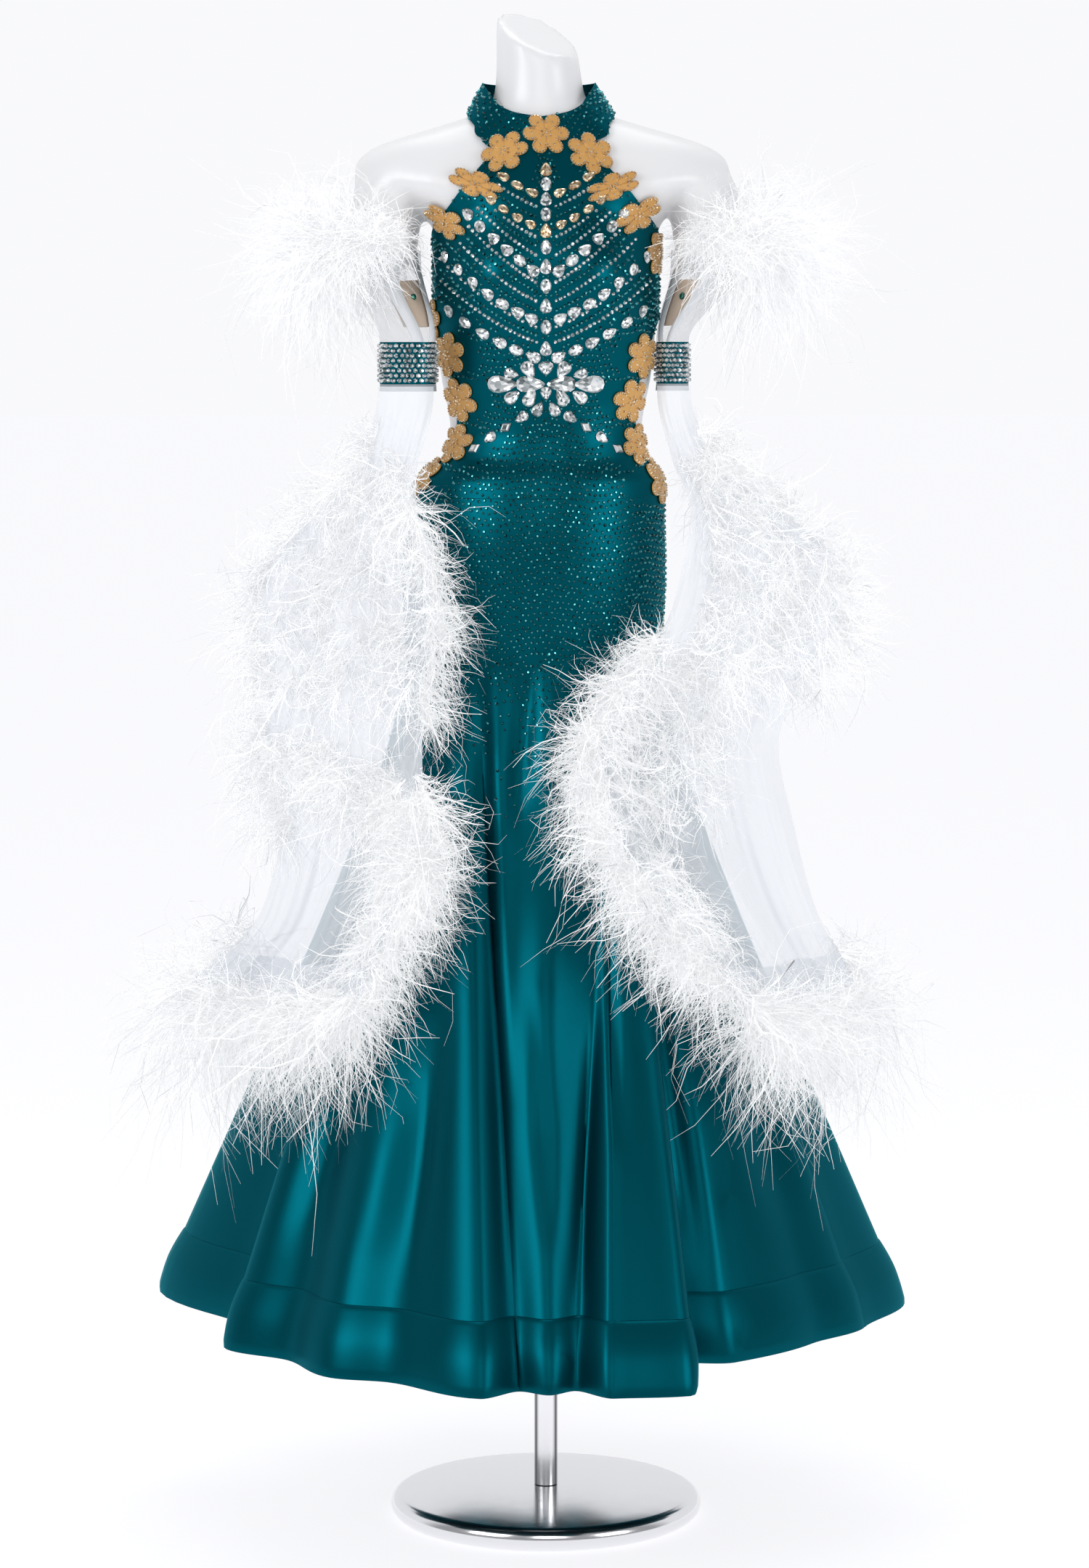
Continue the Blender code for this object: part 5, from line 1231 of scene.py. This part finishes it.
def gore(name, places, heights, thickness, lift, node):
    """A satin panel of the skirt, drawn in a little along its seams."""
    is_hem = node.startswith("hem")
    across = np.linspace(0, places[0, -1] - places[0, 0], places.shape[1])
    from_side = np.minimum(across, across[-1] - across)
    from_end = np.minimum(heights - heights[-1], heights[0] - heights) if is_hem else 1.0
    seam = np.exp(-(from_side / SEAM_PLACE) ** 2)[None, :] + np.exp(-(from_end / SEAM_WIDTH) ** 2)
    puffed = HEM_PUFF * np.sin(pi * np.clip(from_end / HEM_PUFF_HEIGHT, 0, 1)) if is_hem else 0
    dip = SEAM_DIP * np.minimum(seam, 1.0) * ease((SEAM_SHOWS_Z - heights) / SEAM_FADE)
    outer = creased(moved_out(skirt, places, heights, lift + (thickness + puffed - dip)))
    inner = creased(moved_out(skirt, places, heights, lift))
    piece = shell(name, outer, inner, "satin", "satin", [node])
    declare(outer)


class DRESS_OT_crystals(Operator):
    """Sets the large crystals on the bodice"""

    bl_idname = "dress.crystals"
    bl_label = "Large crystals"

    def execute(self, context):
        groups = {}
        for x, z, length, width, slant, cut, finish in crystal_list():
            turn = turn_at(x, z)
            place = worn(turn, z, CRYSTAL_BASE)
            normal = unit(worn(turn, z, PROBE) - worn(turn, z))
            level = unit(slopes(worn, turn, z)[0])
            up = np.cross(normal, level)
            up = up if up[2] > 0 else -up
            along = level * np.cos(slant) + up * np.sin(slant)
            groups.setdefault((finish, cut), []).append((place, normal, along, length, width))
        joined = {}
        for seed, ((finish, cut), stones) in enumerate(groups.items()):
            places, normals, alongs, lengths, widths = (np.array(column) for column in zip(*stones))
            heights = CRYSTAL_HEIGHT * (widths / widths.max()) ** 0.5
            joined.setdefault(finish, []).append(set_stones(
                "stones", CUTS[cut], places, normals, alongs, lengths * CRYSTAL_LENGTH_SHARE,
                widths * CRYSTAL_WIDTH_SHARE, heights, finish, "stones", seed))
        for finish, pieces in joined.items():
            join_pieces("large_" + finish, pieces)
        return {"FINISHED"}


class DRESS_OT_fine_stones(Operator):
    """Sets the small stones on the bodice, hips, collar and back band"""

    bl_idname = "dress.fine_stones"
    bl_label = "Small stones"

    def execute(self, context):
        size = context.scene.dress.stone_size
        trees = satin_trees()
        taken = [(x, z, max(length, width) * 0.5 + STONE_MARGIN)
                 for x, z, length, width, *_ in crystal_list()]
        taken += [(flower.x, flower.z, FLOWER_RADIUS * FLOWER_MARGIN) for flower in FLOWERS]
        rows = fine_stones()
        near = [(x, z, ROW_MARGIN) for kind in rows.values() for x, z in kind]
        for kind, spots in rows.items():
            free = [spot for spot in spots if all(np.hypot(spot[0] - x, spot[1] - z) > gap
                                                  for x, z, gap in taken)]
            origins = np.array([(x, -FRONT_RAY, z) for x, z in free])
            aims = np.tile((0.0, 1.0, 0.0), (len(free), 1))
            self.lay("fine_rows_" + kind, trees, (origins, aims), FRONT_RAY, size * FINE_ROW_SIZE, kind,
                     SEEDS["fine_rows"])
        self.lay("scattered_teal_stones", trees, self.field(taken + near), RAY_REACH, size, "teal_stone",
                 SEEDS["scattered"])
        return {"FINISHED"}

    def field(self, taken):
        """Rays towards the body for the even field of stones, thinning out down the skirt."""
        chance = np.random.default_rng(SEEDS["field"])
        blocked = np.array(taken)
        origins, aims = [], []
        z, row = FIELD_TOP_Z, 0
        while z > FIELD_BOTTOM_Z:
            on_collar = z > COLLAR_FOOT_Z
            spacing = COLLAR_SPACING if on_collar else \
                FIELD_SPACING + SPACING_GROWTH * ease((WIDER_Z - z) / WIDER_FADE)
            count = int(tau * (COLLAR_RADIUS if on_collar else FIELD_RADIUS) / spacing)
            keep = 1.0 - THIN_SHARE * ease((THIN_Z - z) / THIN_FADE)
            for k in range(count):
                turn = tau * (k + 0.5 * (row % 2)) / count
                shake, _ = chance.normal(0, SPOT_SHAKE, 2)
                height = z + (shake + ROW_WAVE * cos(WAVES_ROUND * turn))
                if chance.random() > keep:
                    continue
                x = BODY_AT["half_width"](height) * sin(turn)
                if cos(turn) > 0 and np.any(np.hypot(blocked[:, 0] - x, blocked[:, 1] - height)
                                            < blocked[:, 2]):
                    continue
                origins.append((RAY_RADIUS * sin(turn), -RAY_RADIUS * cos(turn), height))
                aims.append((-sin(turn), cos(turn), 0.0))
            z -= spacing * ROW_SHARE
            row += 1
        return np.array(origins), np.array(aims)

    def lay(self, name, trees, rays, reach, size, kind, seed):
        """Small stones of one kind where rays meet the satin, each tilted a little."""
        places, normals = on_dress(trees, *rays, reach)
        chance = np.random.default_rng(seed)
        normals = unit(normals + chance.normal(0, STONE_TILT, normals.shape))
        sizes = chance.uniform(*STONE_SIZES, len(places)) * size
        set_stones(name, SMALL_GEM, places, normals, level_across(normals), sizes, sizes,
                   sizes * STONE_HEIGHT, kind, "stones", seed)


class DRESS_OT_flowers(Operator):
    """Sews the gold flowers on, with their studs"""

    bl_idname = "dress.flowers"
    bl_label = "Gold flowers"

    def execute(self, context):
        studs = []
        for flower in FLOWERS:
            studs += gold_flower(flower.name, turn_at(flower.x, flower.z), flower.z, radians(flower.spin))
        for number, turn in enumerate(BACK_FLOWER_TURNS, 1):
            place = radians(turn)
            studs += gold_flower("back_%d" % number, place, skirt_top(place) - BACK_FLOWER_DROP,
                                 radians(BACK_FLOWER_SPIN * number))
        places, normals, sizes = (np.array(column) for column in zip(*studs))
        set_stones("flower_studs", STUD, places, normals, level_across(normals), sizes, sizes,
                   sizes * STUD_HEIGHT, "gold_stud", "gold", SEEDS["studs"])
        return {"FINISHED"}


def from_petal(angle):
    """Angle from the middle of the nearest petal."""
    return (angle + pi / PETALS) % (tau / PETALS) - pi / PETALS


def petal_radius(angle):
    """Outline of the flower: six round petals that nearly part at the middle."""
    out, size, away = PETAL_MIDDLE, PETAL_SIZE, from_petal(angle)
    return out * np.cos(away) + np.sqrt(np.maximum(size ** 2 - (out * np.sin(away)) ** 2, LEAST_PART))


def flower_surface(turn, z, spin):
    """Places over the cloth round a flower's middle, as a surface of distance, angle and lift."""
    middle = body(turn, z)
    along, up = (unit(slope) for slope in slopes(body, turn, z))

    def surface(radius, angle, lift):
        point = middle + FLOWER_RADIUS * (radius * np.cos(angle + spin))[..., None] * along \
            + FLOWER_RADIUS * (radius * np.sin(angle + spin))[..., None] * up
        height = point[..., 2]
        part = (point[..., 0] - BODY_AT["shift"](height)) / BODY_AT["half_width"](height)
        depth = np.where(point[..., 1] < 0, BODY_AT["front"](height), BODY_AT["back"](height))
        turns = np.arctan2(part, -point[..., 1] / depth)
        return worn(turns, height, SATIN_WALL + FLOWER_LIFT + lift)
    return surface


def gold_flower(name, turn, z, spin):
    """One flower over the cloth, domed along each petal. Gives the studs on it."""
    surface = flower_surface(turn, z, spin)
    angles = np.linspace(0, tau, FLOWER_COLUMNS, endpoint=False)
    edge = petal_radius(angles)
    between = np.exp(-((np.abs(from_petal(angles)) - pi / PETALS) / GROOVE_HALF) ** 2)
    rows = [surface(edge, angles, 0.0 * angles)]
    for share, rise in PETAL_RINGS:
        groove = 1 - GROOVE_DEPTH * between * (share > GROOVE_END)
        rows.append(surface(edge * share, angles, rise * groove))
    rows.append(surface(edge * PETAL_RINGS[-1][0], angles, 0.0 * angles))
    around = np.arange(FLOWER_COLUMNS)
    after, last = (around + 1) % FLOWER_COLUMNS, (len(rows) - 1) * FLOWER_COLUMNS
    closing = np.stack((around + last, after + last, after, around), -1)
    faces = np.concatenate((grid_faces(len(rows), FLOWER_COLUMNS, True), closing))
    mesh = mesh_from("flower_" + name, np.array(rows).reshape(-1, 3), faces)
    faced_outwards(mesh, FLOWER_MERGE)
    mesh.set_sharp_from_angle(angle=radians(SHARP_FLOWER))
    add_piece("flower_" + name, mesh, "gold_embroidery", "gold", ["flower_" + name])
    return studs_on(surface)


def studs_on(surface):
    """Place, normal and width of each stud on a flower."""
    studs = []
    for petal in range(PETALS):
        centre = tau * petal / PETALS
        for angle in np.linspace(-STUD_ARC, STUD_ARC, STUDS_A_PETAL):
            x = PETAL_MIDDLE + PETAL_SIZE * STUD_INSET * cos(angle)
            y = PETAL_SIZE * STUD_INSET * sin(angle)
            studs.append((np.hypot(x, y), centre + np.arctan2(y, x), STUD_WIDTH))
        studs.append((PETAL_STUD[0], centre, PETAL_STUD[1]))
    studs += [(RING_STUD[0], tau * k / PETALS + RING_STUD_TURN, RING_STUD[1]) for k in range(PETALS)]
    studs.append((MIDDLE_STUD[0], 0.0, MIDDLE_STUD[1]))
    radius, angle, sizes = (np.array(column) for column in zip(*studs))
    places = surface(radius, angle, np.full(len(radius), STUD_LIFT))
    normals = unit(surface(radius, angle, np.full(len(radius), PROBE)) - places)
    return list(zip(places, normals, sizes))


class DRESS_OT_sleeves(Operator):
    """Builds the sheer sleeves, slit ribbons, tan linings, armbands and bindings"""

    bl_idname = "dress.sleeves"
    bl_label = "Sleeves and armbands"

    def execute(self, context):
        for number, side in enumerate(SIDES):
            sleeve_pieces(side)
            armband_pieces(side, SEEDS["armband"] + number)
        return {"FINISHED"}


def sleeve_pieces(side):
    """One sheer sleeve with its slit, the ribbons on the slit's edges, and the lining behind it."""
    slit, surface = radians(SLIT_TURN[side]), sleeve(side)
    down = np.linspace(0, 1, SLEEVE_ROWS)[:, None]
    opening = np.sin(pi * (down * SLIT_SPAN + SLIT_SHIFT)) * ease(down * SLIT_QUICKNESS)
    half = np.radians(SLIT_TOP_HALF + SLIT_OPEN_HALF * opening)
    sheer_sleeve(side, surface, down, (slit + half, slit + tau - half))
    for edge in (-1, 1):
        strip = np.linspace(0, 1, RIBBON_COLUMNS)[None, :]
        turn = slit + edge * (half + radians(RIBBON_TURN) * (strip - RIBBON_OVERLAP))
        lift = RIBBON_WALL + RIBBON_RISE * np.sin(pi * strip)
        outer = moved_out(surface, turn, down + 0 * turn, -lift)
        inner = moved_out(surface, turn, down + 0 * turn, RIBBON_WALL - lift)
        name = "slit_ribbon_%s_%s" % (side, "left" if edge < 0 else "right")
        ribbon = shell(name, outer, inner, "slit_ribbon", "chiffon")
        declare(outer)
    gap = CHIFFON_WALL + LINING_GAP
    turns = slit + np.radians(np.linspace(-LINING_HALF, LINING_HALF, LINING_COLUMNS))[None, :]
    drop = np.linspace(*LINING_SPAN, LINING_ROWS)[:, None]
    outer = moved_out(surface, turns + 0 * drop, drop + 0 * turns, gap)
    inner = moved_out(surface, turns + 0 * drop, drop + 0 * turns, gap + CHIFFON_WALL)
    lining = shell("lining_" + side, outer, inner, "nude_mesh", "nude", ["sleeve_lining_" + side])
    declare(outer)
    spot = np.array([slit]), np.array([SLIT_STONE_DOWN])
    place = moved_out(surface, *spot, gap - SLIT_STONE_LIFT)
    normal = place - moved_out(surface, *spot, gap + SLIT_STONE_PROBE)
    set_stones("slit_stone_" + side, CUTS["oval"], place, normal, np.array([SLIT_STONE_LEAN]), *SLIT_STONE,
               "green_stone", "stones", SEEDS["slit_stone"])


def sheer_sleeve(side, surface, down, edges):
    """The sheer cloth of a sleeve between the edges of its slit, a little puckered."""
    turns = mix(*edges, np.linspace(0, 1, SLEEVE_COLUMNS)[None, :])
    cloth = moved_out(surface, turns, down + 0 * turns, 0.0)
    pucker = PUCKER * np.sin(turns * PUCKERS_ROUND + down * PUCKERS_DOWN) * np.sin(pi * down)
    cloth += unit(cloth - cloth.mean(axis=1, keepdims=True)) * pucker[..., None]
    name = "sleeve_sheer_" + side
    mesh = mesh_from(name, cloth.reshape(-1, 3), grid_faces(SLEEVE_ROWS, SLEEVE_COLUMNS))
    sheer = add_piece(name, mesh, "sheer_sleeve", "chiffon", ["sleeve_" + side])
    declare(cloth)


def closed(grid):
    """A grid of cloth that goes round, with its first column again at its end."""
    return np.concatenate((grid, grid[:, :1]), axis=1)


def armband_pieces(side, seed):
    """Armband with its rows of clear stones, and the grey binding under it."""
    band = ARMBANDS[side]
    turns = np.linspace(0, tau, ARMBAND_COLUMNS, endpoint=False)[None, :]
    heights = np.linspace(band.top, band.bottom, ARMBAND_ROWS)[:, None]
    outer = armband(side)(turns, heights)
    inner = armband(side, -ARMBAND_WALL)(turns, heights)
    cuff = shell("armband_cuff_" + side, outer, inner, "satin", "stones", ["armband_" + side], True)
    declare(closed(outer))
    edge = np.linspace(band.bottom - SEAM_GAP, band.bottom - BINDING_HEIGHT, BINDING_ROWS)[:, None]
    ruffle = RUFFLE * np.sin(turns * RUFFLES_ROUND) * (edge[0] - edge) / BINDING_HEIGHT
    outer = armband(side)(turns, edge)
    outer += unit(outer - outer.mean(axis=1, keepdims=True)) * ruffle[..., None]
    inner = armband(side, -ARMBAND_WALL)(turns, edge)
    trim = shell("armband_trim_" + side, outer, inner, "binding", "binding", ["armband_binding_" + side],
                 True)
    declare(closed(outer))
    places, normals = [], []
    count = int(pi * (band.half_width + band.half_depth) / BAND_STONE_STEP)
    for row in range(BAND_STONE_ROWS):
        z = mix(band.top - BAND_STONE_EDGE, band.bottom + BAND_STONE_EDGE, row / (BAND_STONE_ROWS - 1))
        turn = tau * (np.arange(count) + 0.5 * (row % 2)) / count
        places.append(armband(side, BAND_STONE_LIFT)(turn, np.full(count, z)))
        normals.append(armband(side, PROBE)(turn, np.full(count, z)) - places[-1])
    places, normals = np.concatenate(places), np.concatenate(normals)
    alongs = np.tile((0.0, 0.0, 1.0), (len(places), 1))
    sizes = np.random.default_rng(seed).uniform(*BAND_STONE_SIZES, len(places))
    set_stones("armband_stones_" + side, SMALL_GEM, places, normals, alongs, sizes, sizes,
               sizes * BAND_STONE_HEIGHT, "clear_stone", "stones", seed)


class DRESS_OT_floats(Operator):
    """Hangs the chiffon floats from the armbands"""

    bl_idname = "dress.floats"
    bl_label = "Chiffon floats"

    def execute(self, context):
        across = np.linspace(0, 1, FLOAT_POINTS)[None, :]
        heights = np.linspace(FLOAT_TOP_Z, FLOAT_HEM_Z, FLOAT_POINTS)[:, None]
        faces = grid_faces(FLOAT_POINTS, FLOAT_POINTS)
        for side in SIDES:
            cloth = float_cloth(side)(across + 0 * heights, heights + 0 * across)
            for depth, number_across, number_down, start_z, fade in RIPPLES:
                ripple = np.sin(across * number_across + heights * number_down)
                cloth[..., 1] += depth * ripple * ease((start_z - heights) / fade)
            name = "float_chiffon_" + side
            piece = add_piece(name, mesh_from(name, cloth.reshape(-1, 3), faces), "chiffon", "chiffon",
                              ["float_" + side])
            declare(cloth)
            edge = cloth[-FLOAT_STRIP_ROWS:].copy()
            outer, inner = (edge + np.array((0, off, 0)) for off in (FLOAT_STRIP_FRONT, FLOAT_STRIP_BACK))
            hem = shell("float_hem_" + side, outer, inner, "chiffon", "chiffon")
            declare(edge)
        return {"FINISHED"}


def strands(name, field, seed, node):
    """Feather strands as thin tapered ribbons; the strands of a lock curl together."""
    roots, aims, lengths, sags, locks = field
    chance = np.random.default_rng(seed)
    count, lock_count = len(roots), locks.max() + 1
    aims = unit(aims)
    side = unit(np.cross(aims, chance.normal(size=(lock_count, 3))[locks]
                         + chance.normal(0, OWN_AIM, (count, 3))))
    part = np.linspace(0, 1, STRAND_STEPS)[None, :]

    def turning(amount):
        """How far each strand has turned, part by part: an even curl and a wave of its own."""
        even = chance.normal(0, amount, lock_count)[locks] + chance.normal(0, amount * OWN_CURL, count)
        wave = chance.normal(0, amount * WAVE_CURL, count)[:, None]
        start = chance.uniform(0, tau, lock_count)[locks][:, None]
        return even[:, None] * part ** CURL_GROWTH + wave * (np.sin(tau * WAVE_TURNS * part + start)
                                                             - np.sin(start))

    sideways, upwards = turning(STRAND_CURL), turning(STRAND_CURL * UPWARD_CURL)
    third = unit(np.cross(aims, side))
    lengths = lengths * STRAND_REACH
    heading = (aims[:, None] * (np.cos(sideways) * np.cos(upwards))[..., None]
               + side[:, None] * (np.sin(sideways) * np.cos(upwards))[..., None]
               + third[:, None] * np.sin(upwards)[..., None])
    steps = (heading[:, 1:] + heading[:, :-1]) / 2 * (lengths / (STRAND_STEPS - 1))[:, None, None]
    path = np.concatenate((np.zeros((count, 1, 3)), np.cumsum(steps, axis=1)), axis=1)
    path[..., 2] -= (sags * lengths)[:, None] * part ** 2
    room = np.where(path > 0, np.array(CAD_HIGH) + OVERREACH - roots[:, None],
                    roots[:, None] - np.array(CAD_LOW) + OVERREACH)
    fit = np.min(room / np.maximum(np.abs(path), NEVER_ZERO), axis=(1, 2))
    path = roots[:, None] + path * np.clip(fit, LEAST_FIT, 1.0)[:, None, None]
    flat = unit(np.cross(np.gradient(path, axis=1), chance.normal(size=(count, 1, 3))))
    bold = np.where(chance.random(count) < BOLD_SHARE, BOLD_WIDTH, 1.0)
    bold = bold * chance.uniform(*STRAND_WIDTHS, count)
    widths = STRAND_WIDTH * bold[:, None, None] * (1 - STRAND_TAPER * part[..., None] ** 2)
    points = np.stack((path + flat * widths / 2, path - flat * widths / 2), axis=2)
    base = (np.arange(count) * STRAND_STEPS * 2)[:, None] + (np.arange(STRAND_STEPS - 1) * 2)[None, :]
    faces = np.stack((base, base + 1, base + 3, base + 2), -1).reshape(-1, 4)
    mesh = mesh_from(name, points.reshape(-1, 3), faces)
    tones = TONE + chance.normal(0, LOCK_TONE, lock_count)[locks] + chance.normal(0, OWN_TONE, count)
    tone = np.repeat(np.clip(tones, 0, 1), STRAND_STEPS * 2)
    mesh.attributes.new("tone", "FLOAT", "POINT").data.foreach_set("value", tone.astype(np.float32))
    return add_piece(name, mesh, "feather", "feather", [node])


class DRESS_OT_feathers(Operator):
    """Sews the feather puffs and bands on"""

    bl_idname = "dress.feathers"
    bl_label = "Feathers"

    def execute(self, context):
        share = context.scene.dress.strand_share
        for number, side in enumerate(SIDES):
            puff(side, int(PUFF_STRANDS * share), number)
        bands = sorted({(plume.band, plume.side) for plume in PLUMES})
        for number, (band, side) in enumerate(bands):
            fields = [plume_field(plume, int(plume.count * share), SEEDS["plume"] + number * 10 + row)
                      for row, plume in enumerate(PLUMES) if (plume.band, plume.side) == (band, side)]
            starts = np.cumsum([0] + [field[4].max() + 1 for field in fields])
            fields = [(*field[:4], field[4] + start) for field, start in zip(fields, starts)]
            joined = [np.concatenate(column) for column in zip(*fields)]
            strands("%s_feathers_%s" % (band, side), joined, SEEDS["strands"] + number,
                    "feather_%s_%s" % (band, side))
        return {"FINISHED"}


def locks_of(count, chance):
    """The lock that each strand belongs to."""
    return chance.integers(0, max(1, count // LOCK_STRANDS), count)


def puff(side, count, number):
    """The feather puff round a shoulder end, longest on the outside."""
    chance = np.random.default_rng(SEEDS["puff"] + number)
    locks = locks_of(count, chance)
    lock_count = locks.max() + 1
    turn = chance.uniform(-pi, pi, lock_count)
    turn = np.where(np.sin(turn) * SIDES[side] < PUFF_TURNED_BACK, -turn, turn)
    rise = chance.uniform(*PUFF_RISES, lock_count)
    heights = chance.uniform(PUFF_BOTTOM + LOCK_ROOM, PUFF_TOP - HEAD_ROOM, lock_count)
    turn = turn[locks] + chance.normal(0, PUFF_TURN_SHAKE, count)
    rise = rise[locks] + chance.normal(0, PUFF_RISE_SHAKE, count)
    heights = heights[locks] + chance.normal(0, PUFF_HEIGHT_SHAKE, count)
    heights = np.clip(heights, PUFF_BOTTOM + FOOT_ROOM, PUFF_TOP)
    outward = stacked(np.sin(turn), -np.cos(turn), 0.0)
    away = outward[:, 0] * SIDES[side]
    roots = moved_out(stub(side), turn, heights, PUFF_CLEARANCE + PUFF_ROOT_LIFT)
    aims = outward + stacked(PUFF_LEAN * SIDES[side], 0.0, rise - PUFF_FALL)
    inner = ease((PUFF_INNER_START - away) / PUFF_INNER_SPAN)
    lengths = PUFF_LENGTH + PUFF_OUTER_LENGTH * ease((away + PUFF_OUTER_START) / PUFF_OUTER_SPAN)
    lengths = lengths * chance.uniform(*PUFF_LENGTHS, count)
    lengths = lengths * (1 - PUFF_INNER_CUT * inner) * (1 - PUFF_STEEP_CUT * (rise > PUFF_STEEP))
    stray = chance.random(count) < STRAY_SHARE
    lengths = np.where(stray & (away > 0), lengths * STRAY_REACH, lengths)
    sags = chance.uniform(*PUFF_SAGS, count)
    strands("puff_feathers_" + side, (roots, aims, lengths, sags, locks), SEEDS["puff_strands"] + number,
            "puff_" + side)


def plume_field(plume, count, seed):
    """Roots, directions, lengths, droops and locks of the strands of one stretch of a feather band."""
    chance = np.random.default_rng(seed)
    surface = float_cloth(plume.side)
    locks = locks_of(count, chance)
    lock_count = locks.max() + 1
    part = chance.random(lock_count)
    across = mix(plume.a0, plume.a1, part) + chance.uniform(-0.5, 0.5, lock_count) * plume.width
    z = mix(plume.z0, plume.z1, part) + chance.normal(0, PLUME_HEIGHT_SHAKE, lock_count)
    across = np.clip(across[locks] + chance.normal(0, PLUME_ACROSS_SHAKE, count), 0.0, 1.0)
    z = z[locks] + chance.normal(0, PLUME_OWN_SHAKE, count)
    z = np.clip(z, FLOAT_HEM_Z + FOOT_ROOM, FLOAT_TOP_Z - HEAD_ROOM)
    roots = surface(across, z)
    along, up = (unit(slope) for slope in slopes(surface, across, z))
    normal = np.cross(along, up)
    normal = np.where(normal[:, 1:2] > 0, -normal, normal)
    spread = chance.normal(0, PLUME_SPREAD, (lock_count, 3))[locks]
    spread = spread + chance.normal(0, PLUME_OWN_SPREAD, (count, 3))
    off = chance.uniform(*PLUME_OFF, lock_count)[locks]
    fall = np.array((0, 0, -1.0)) * plume.down
    aims = along * plume.lean + normal * (plume.out * off)[:, None] + fall + spread
    lengths = plume.length * chance.uniform(*PLUME_LENGTHS, lock_count)[locks]
    lengths = lengths * chance.uniform(*PLUME_OWN_LENGTHS, count)
    stray = chance.random(count) < STRAY_SHARE
    lengths = np.where(stray, lengths * STRAY_REACH, lengths)
    return roots + normal * PLUME_LIFT, aims, lengths, chance.uniform(*PLUME_SAGS, count), locks


class DRESS_OT_stage(Operator):
    """Sets the floor, the lights and the camera"""

    bl_idname = "dress.stage"
    bl_label = "Stage"

    def execute(self, context):
        lay_floor(context.scene)
        for light in LIGHTS:
            hang_light(context.scene, light)
        light_studio(context.scene)
        place_camera(context.scene)
        context.scene.view_settings.view_transform = "Standard"
        return {"FINISHED"}


def put(scene, name, data, place, aim):
    """A lamp or a camera at a place, turned towards another."""
    made = bpy.data.objects.new(name, data)
    scene.collection.objects.link(made)
    made.location = place
    made.rotation_euler = (Vector(aim) - Vector(place)).to_track_quat("-Z", "Y").to_euler()
    return made


def lay_floor(scene):
    """A pale floor that reaches past what is seen."""
    corners = [(x, y, FLOOR_Z) for y in (-FLOOR_REACH, FLOOR_REACH) for x in (-FLOOR_REACH, FLOOR_REACH)]
    mesh = mesh_from("studio_floor", np.array(corners), grid_faces(2, 2))
    mesh.materials.append(finish_of("stage"))
    floor = bpy.data.objects.new("studio_floor", mesh)
    scene.collection.objects.link(floor)


def hang_light(scene, light):
    lamp = bpy.data.lights.new(light.name, "AREA")
    lamp.size = light.size
    lamp.energy = scene.dress.key_power * light.share
    put(scene, light.name, lamp, light.place, light.aim)


def light_studio(scene):
    """Soft light from all round, brighter behind, before an even pale background."""
    world = bpy.data.worlds.new("studio")
    scene.world = world
    world.use_nodes = True
    nodes, link = world.node_tree.nodes, world.node_tree.links.new
    lit = nodes["Background"]
    lit.inputs["Color"].default_value = STUDIO_LIGHT
    direction = nodes.new("ShaderNodeTexCoord")
    parts = nodes.new("ShaderNodeSeparateXYZ")
    strength = nodes.new("ShaderNodeMapRange")
    for label, value in STUDIO_SPAN.items():
        strength.inputs[label].default_value = value
    seen = nodes.new("ShaderNodeBackground")
    seen.inputs["Color"].default_value = STUDIO_SEEN
    ray = nodes.new("ShaderNodeLightPath")
    either = nodes.new("ShaderNodeMixShader")
    link(direction.outputs["Generated"], parts.inputs["Vector"])
    link(parts.outputs["Y"], strength.inputs["Value"])
    link(strength.outputs["Result"], lit.inputs["Strength"])
    link(ray.outputs["Is Camera Ray"], either.inputs[0])
    link(lit.outputs[0], either.inputs[1])
    link(seen.outputs[0], either.inputs[2])
    link(either.outputs[0], nodes["World Output"].inputs["Surface"])


def place_camera(scene):
    """The camera at the height and distance of the photographer's."""
    camera = bpy.data.cameras.new("camera")
    camera.sensor_width = CAMERA_SENSOR
    camera.lens = CAMERA_LENS
    scene.camera = put(scene, "camera", camera, CAMERA_PLACE, CAMERA_AIM)


OPERATORS = (DRESS_OT_stand, DRESS_OT_bodice, DRESS_OT_skirt, DRESS_OT_crystals, DRESS_OT_fine_stones,
             DRESS_OT_flowers, DRESS_OT_sleeves, DRESS_OT_floats, DRESS_OT_feathers, DRESS_OT_stage)


class DRESS_PT_panel(Panel):
    """Buttons that build the dress piece by piece"""

    bl_idname = "DRESS_PT_panel"
    bl_label = "Dance dress"
    bl_space_type = "VIEW_3D"
    bl_region_type = "UI"
    bl_category = "Dress"

    def draw(self, context):
        settings = context.scene.dress
        for label in ("satin_colour", "stone_size", "strand_share", "key_power"):
            self.layout.prop(settings, label)
        for operator in OPERATORS:
            self.layout.operator(operator.bl_idname)


CLASSES = (DressSettings, *OPERATORS, DRESS_PT_panel)


def register():
    for made in CLASSES:
        bpy.utils.register_class(made)
    bpy.types.Scene.dress = PointerProperty(type=DressSettings)


def unregister():
    del bpy.types.Scene.dress
    for made in reversed(CLASSES):
        bpy.utils.unregister_class(made)


def main():
    register()
    bpy.ops.object.select_all(action="DESELECT")
    for build in (bpy.ops.dress.stand, bpy.ops.dress.bodice, bpy.ops.dress.skirt, bpy.ops.dress.crystals,
                  bpy.ops.dress.fine_stones, bpy.ops.dress.flowers, bpy.ops.dress.sleeves,
                  bpy.ops.dress.floats, bpy.ops.dress.feathers, bpy.ops.dress.stage):
        build()


if __name__ == "__main__":
    main()
